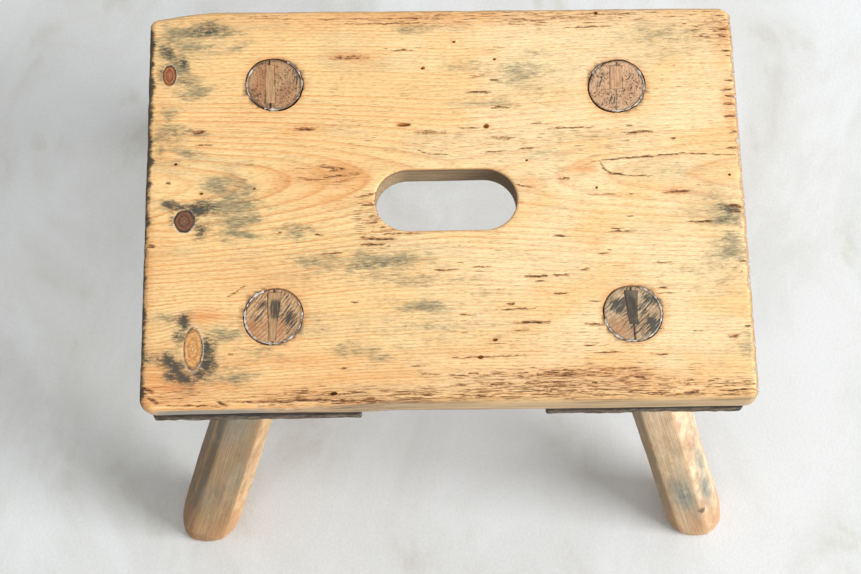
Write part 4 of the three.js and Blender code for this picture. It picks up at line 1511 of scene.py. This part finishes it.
def wedge_finish(place):
    finish = Finish("wedge_" + place)
    stock = finish.attribute("stock", "Vector")
    grain = finish.noise((1300.0, 70.0, 400.0), detail=3, place=stock)
    patch = finish.noise((190.0, 110.0, 60.0), detail=3, place=stock)
    finish.colour = WEDGE_TINTS[place]
    finish.lay(finish.between(grain, 0.4, 0.6, 0.0, 0.5), paint(140, 98, 68))
    finish.lay(finish.between(patch, 0.46, 0.62, 0.0, 0.4), paint(160, 116, 80))
    bloom = finish.plus(finish.attribute("mould"), finish.sway(patch, 1.6))
    bloom = finish.times(finish.between(bloom, 0.3, 0.9), finish.between(grain, 0.36, 0.55, 0.6, 1.0))
    finish.lay(finish.times(bloom, 0.88), paint(52, 54, 48))
    dirty = finish.times(finish.attribute("dirt_and_shade"), finish.between(patch, 0.4, 0.6, 0.1, 0.65))
    finish.lay(dirty, paint(66, 50, 38))
    return finish.close(0.55, grain, 0.25, gloss=0.45)


# %% Legs and wedges in place
# The pith of each leg lies outside it, so the rings cross its end as nearly straight lines.
PITHS = {"front_left": (-62, 48), "front_right": (-50, 52), "back_left": (-80, 6), "back_right": (-34, 12)}


def reach_of(stock, blobs_on_leg):
    total = np.zeros(len(stock))
    for cx, cy, cz, across, along, strength in blobs_on_leg:
        side = np.hypot(stock[:, 0] - cx, stock[:, 1] - cy) / across
        total = np.maximum(total, strength * np.exp(-(side**2) - ((stock[:, 2] - cz) / along) ** 2))
    return total


def reach_on_end(stock, spots):
    total = np.zeros(len(stock))
    for cx, cy, half_x, half_y, strength in spots:
        reach = ((stock[:, 0] - cx) / half_x) ** 2 + ((stock[:, 1] - cy) / half_y) ** 2
        total = np.maximum(total, strength * np.exp(-reach))
    return total


def facet_light_of(stock, place):
    """Painted light: 0 on a leg's faces turned to the left, a half on its broad front face, 1 on those
    turned right.
    """
    angle = np.degrees(np.arctan2(stock[:, 1], stock[:, 0]))
    left, right = FRONT_FACE[place]
    front = 0.5 * soft_step(angle, left - 3, left + 3) + 0.5 * soft_step(angle, right - 3, right + 3)
    return np.where(angle < 0, front, soft_step(angle, 120, 60))


old_wax = wax_finish()
for number, place in enumerate(PLACES):
    bm = leg(place, 60 + number)
    bm.normal_update()
    centre = tenons[place]
    where = points_of(bm)
    straight = lean(place).inverted()
    stock = np.array([(straight @ v.co)[:] for v in bm.verts])
    bends = np.array([max((e.calc_face_angle(0) for e in v.link_edges), default=0) for v in bm.verts])
    finishes = [leg_finish(place), tenon_finish(place), old_wax]
    piece = finish_piece("leg_" + place + "_shaved", bm, finishes, "leg_" + place, sharp=45)
    near_top = soft_step(where[:, 2], SEAT_TOP - 3, SEAT_TOP - 1)
    # Painted shade: the leg is darkened over the 14 mm just below the shoulder, under the batten.
    under = soft_step(where[:, 2], SHOULDER - 14, SHOULDER) * (1 - near_top)
    rim = soft_step(np.hypot(stock[:, 0], stock[:, 1]), TENON_RADIUS - RIM_DIRT[place], TENON_RADIUS)
    joint_line = soft_step(np.abs(stock[:, 0] - KERF_SHIFT[place]), 0.9, 0.3)
    joint_line *= 0.3 if place == "back_right" else 1.0
    pith = PITHS[place]
    store(piece, "stock", stock * MM, "FLOAT_VECTOR")
    store(piece, "ring", np.hypot(stock[:, 0] - pith[0], stock[:, 1] - pith[1]) / 2.4)
    store(piece, "foot", soft_step(where[:, 2], 60, 5))
    store(piece, "damp", reach_of(stock, LEG_DAMP[place]))
    store(piece, "knot", reach_of(stock, LEG_KNOTS.get(place, [])))
    store(piece, "edge", soft_step(bends, 0.15, 0.4) * (where[:, 2] < SHOULDER - 2))
    # Painted light and shade, by the side each face turns to.
    store(piece, "facet_light", facet_light_of(stock, place))
    store(piece, "mould", reach_on_end(stock, TENON_MOULD[place]) * near_top)
    store(piece, "blush", reach_on_end(stock, TENON_BLUSH[place]) * near_top)
    store(piece, "dirt_and_shade", np.clip((rim + joint_line) * near_top + under, 0, 1))

    bm = wedge_block(place, 0.0)
    cap = saw(bm, (0, 0, SEAT_TOP - WEDGE_RECESS[place]), (0, 0, 1))
    rim_edges = [e for face in cap for e in face.edges]
    soften(bm, rim_edges, 0.35, 2)
    slice_up(bm, 0, centre.x - 10, centre.x + 10, 1.2)
    slice_up(bm, 1, centre.y - 20, centre.y + 20, 2.0)
    settle(bm)
    stock = np.array([(straight @ v.co)[:] for v in bm.verts])
    for vert in bm.verts:
        if vert.co.z > SEAT_TOP - 2:
            vert.co.z += 0.2 * noise.noise(vert.co / 4)
    back, front, length, wedge_shift = WEDGES[place]
    half = np.interp(stock[:, 1] - wedge_shift, [-length / 2, length / 2], [front / 2, back / 2])
    node = "wedge_" + place
    piece = finish_piece(node + "_oak", bm, [wedge_finish(place)], node)
    store(piece, "stock", stock * MM, "FLOAT_VECTOR")
    store(piece, "dirt_and_shade", soft_step(np.abs(stock[:, 0] - KERF_SHIFT[place]), half - 0.9, half - 0.1))
    store(piece, "mould", reach_on_end(stock, TENON_MOULD[place]))

# %% [markdown]
# ## Nails
# A smith's nail has a square tapering shank and a head hammered into four or five facets. The shank is a
# cube drawn out to a point, and the head is a low five-sided cone with softened edges, turned a
# different way on every nail.

# %% Forged nails
NAIL_SHANK = 1.5
NAIL_HEAD = 4.2
NAIL_DOME = 1.6


def nail_finish():
    finish = Finish("rusted_iron")
    scale_marks = finish.noise((400.0, 400.0, 400.0), detail=4)
    rust = finish.between(finish.noise((260.0, 260.0, 260.0), detail=3), 0.42, 0.6)
    finish.colour = finish.mix(rust, paint(58, 52, 48), paint(112, 66, 40))
    roughness = finish.between(rust, 0.0, 1.0, 0.5, 0.9)
    finish.shader.inputs["Metallic"].default_value = 0.6
    return finish.close(roughness, scale_marks, 0.3)


def nail(at, tip, turn):
    bm = bmesh.new()
    shank = bmesh.ops.create_cube(bm, size=2)["verts"]
    for vert in shank:
        wide = NAIL_SHANK if vert.co.z < 0 else 0.3
        vert.co = (vert.co.x * wide, vert.co.y * wide, tip if vert.co.z > 0 else -0.2)
    bmesh.ops.create_cone(
        bm, cap_ends=True, segments=5, radius1=NAIL_HEAD * 0.3, radius2=NAIL_HEAD, depth=NAIL_DOME,
        matrix=Matrix.Translation((0, 0, -NAIL_DOME / 2)),
    )
    head = [e for e in bm.edges if all(v.co.z < 0.01 and v.co.xy.length > 0.1 for v in e.verts)]
    head = [e for e in head if not all(v in shank for v in e.verts)]
    soften(bm, head, 0.35, 2)
    bmesh.ops.transform(bm, matrix=Matrix.Translation(at) @ Matrix.Rotation(turn, 4, "Z"), verts=bm.verts[:])
    bmesh.ops.recalc_face_normals(bm, faces=bm.faces[:])
    return bm


iron = nail_finish()
for side in ("left", "right"):
    low, high = box_mm("batten_" + side)
    for number, at in enumerate(nail_places(low, high), start=1):
        node = "batten_" + side + "_nail_" + str(number)
        _, nail_high = box_mm(node)
        bm = nail(at, nail_high.z - at.z, dice.uniform(0, math.tau))
        finish_piece(node + "_forged", bm, [iron], node)

import json
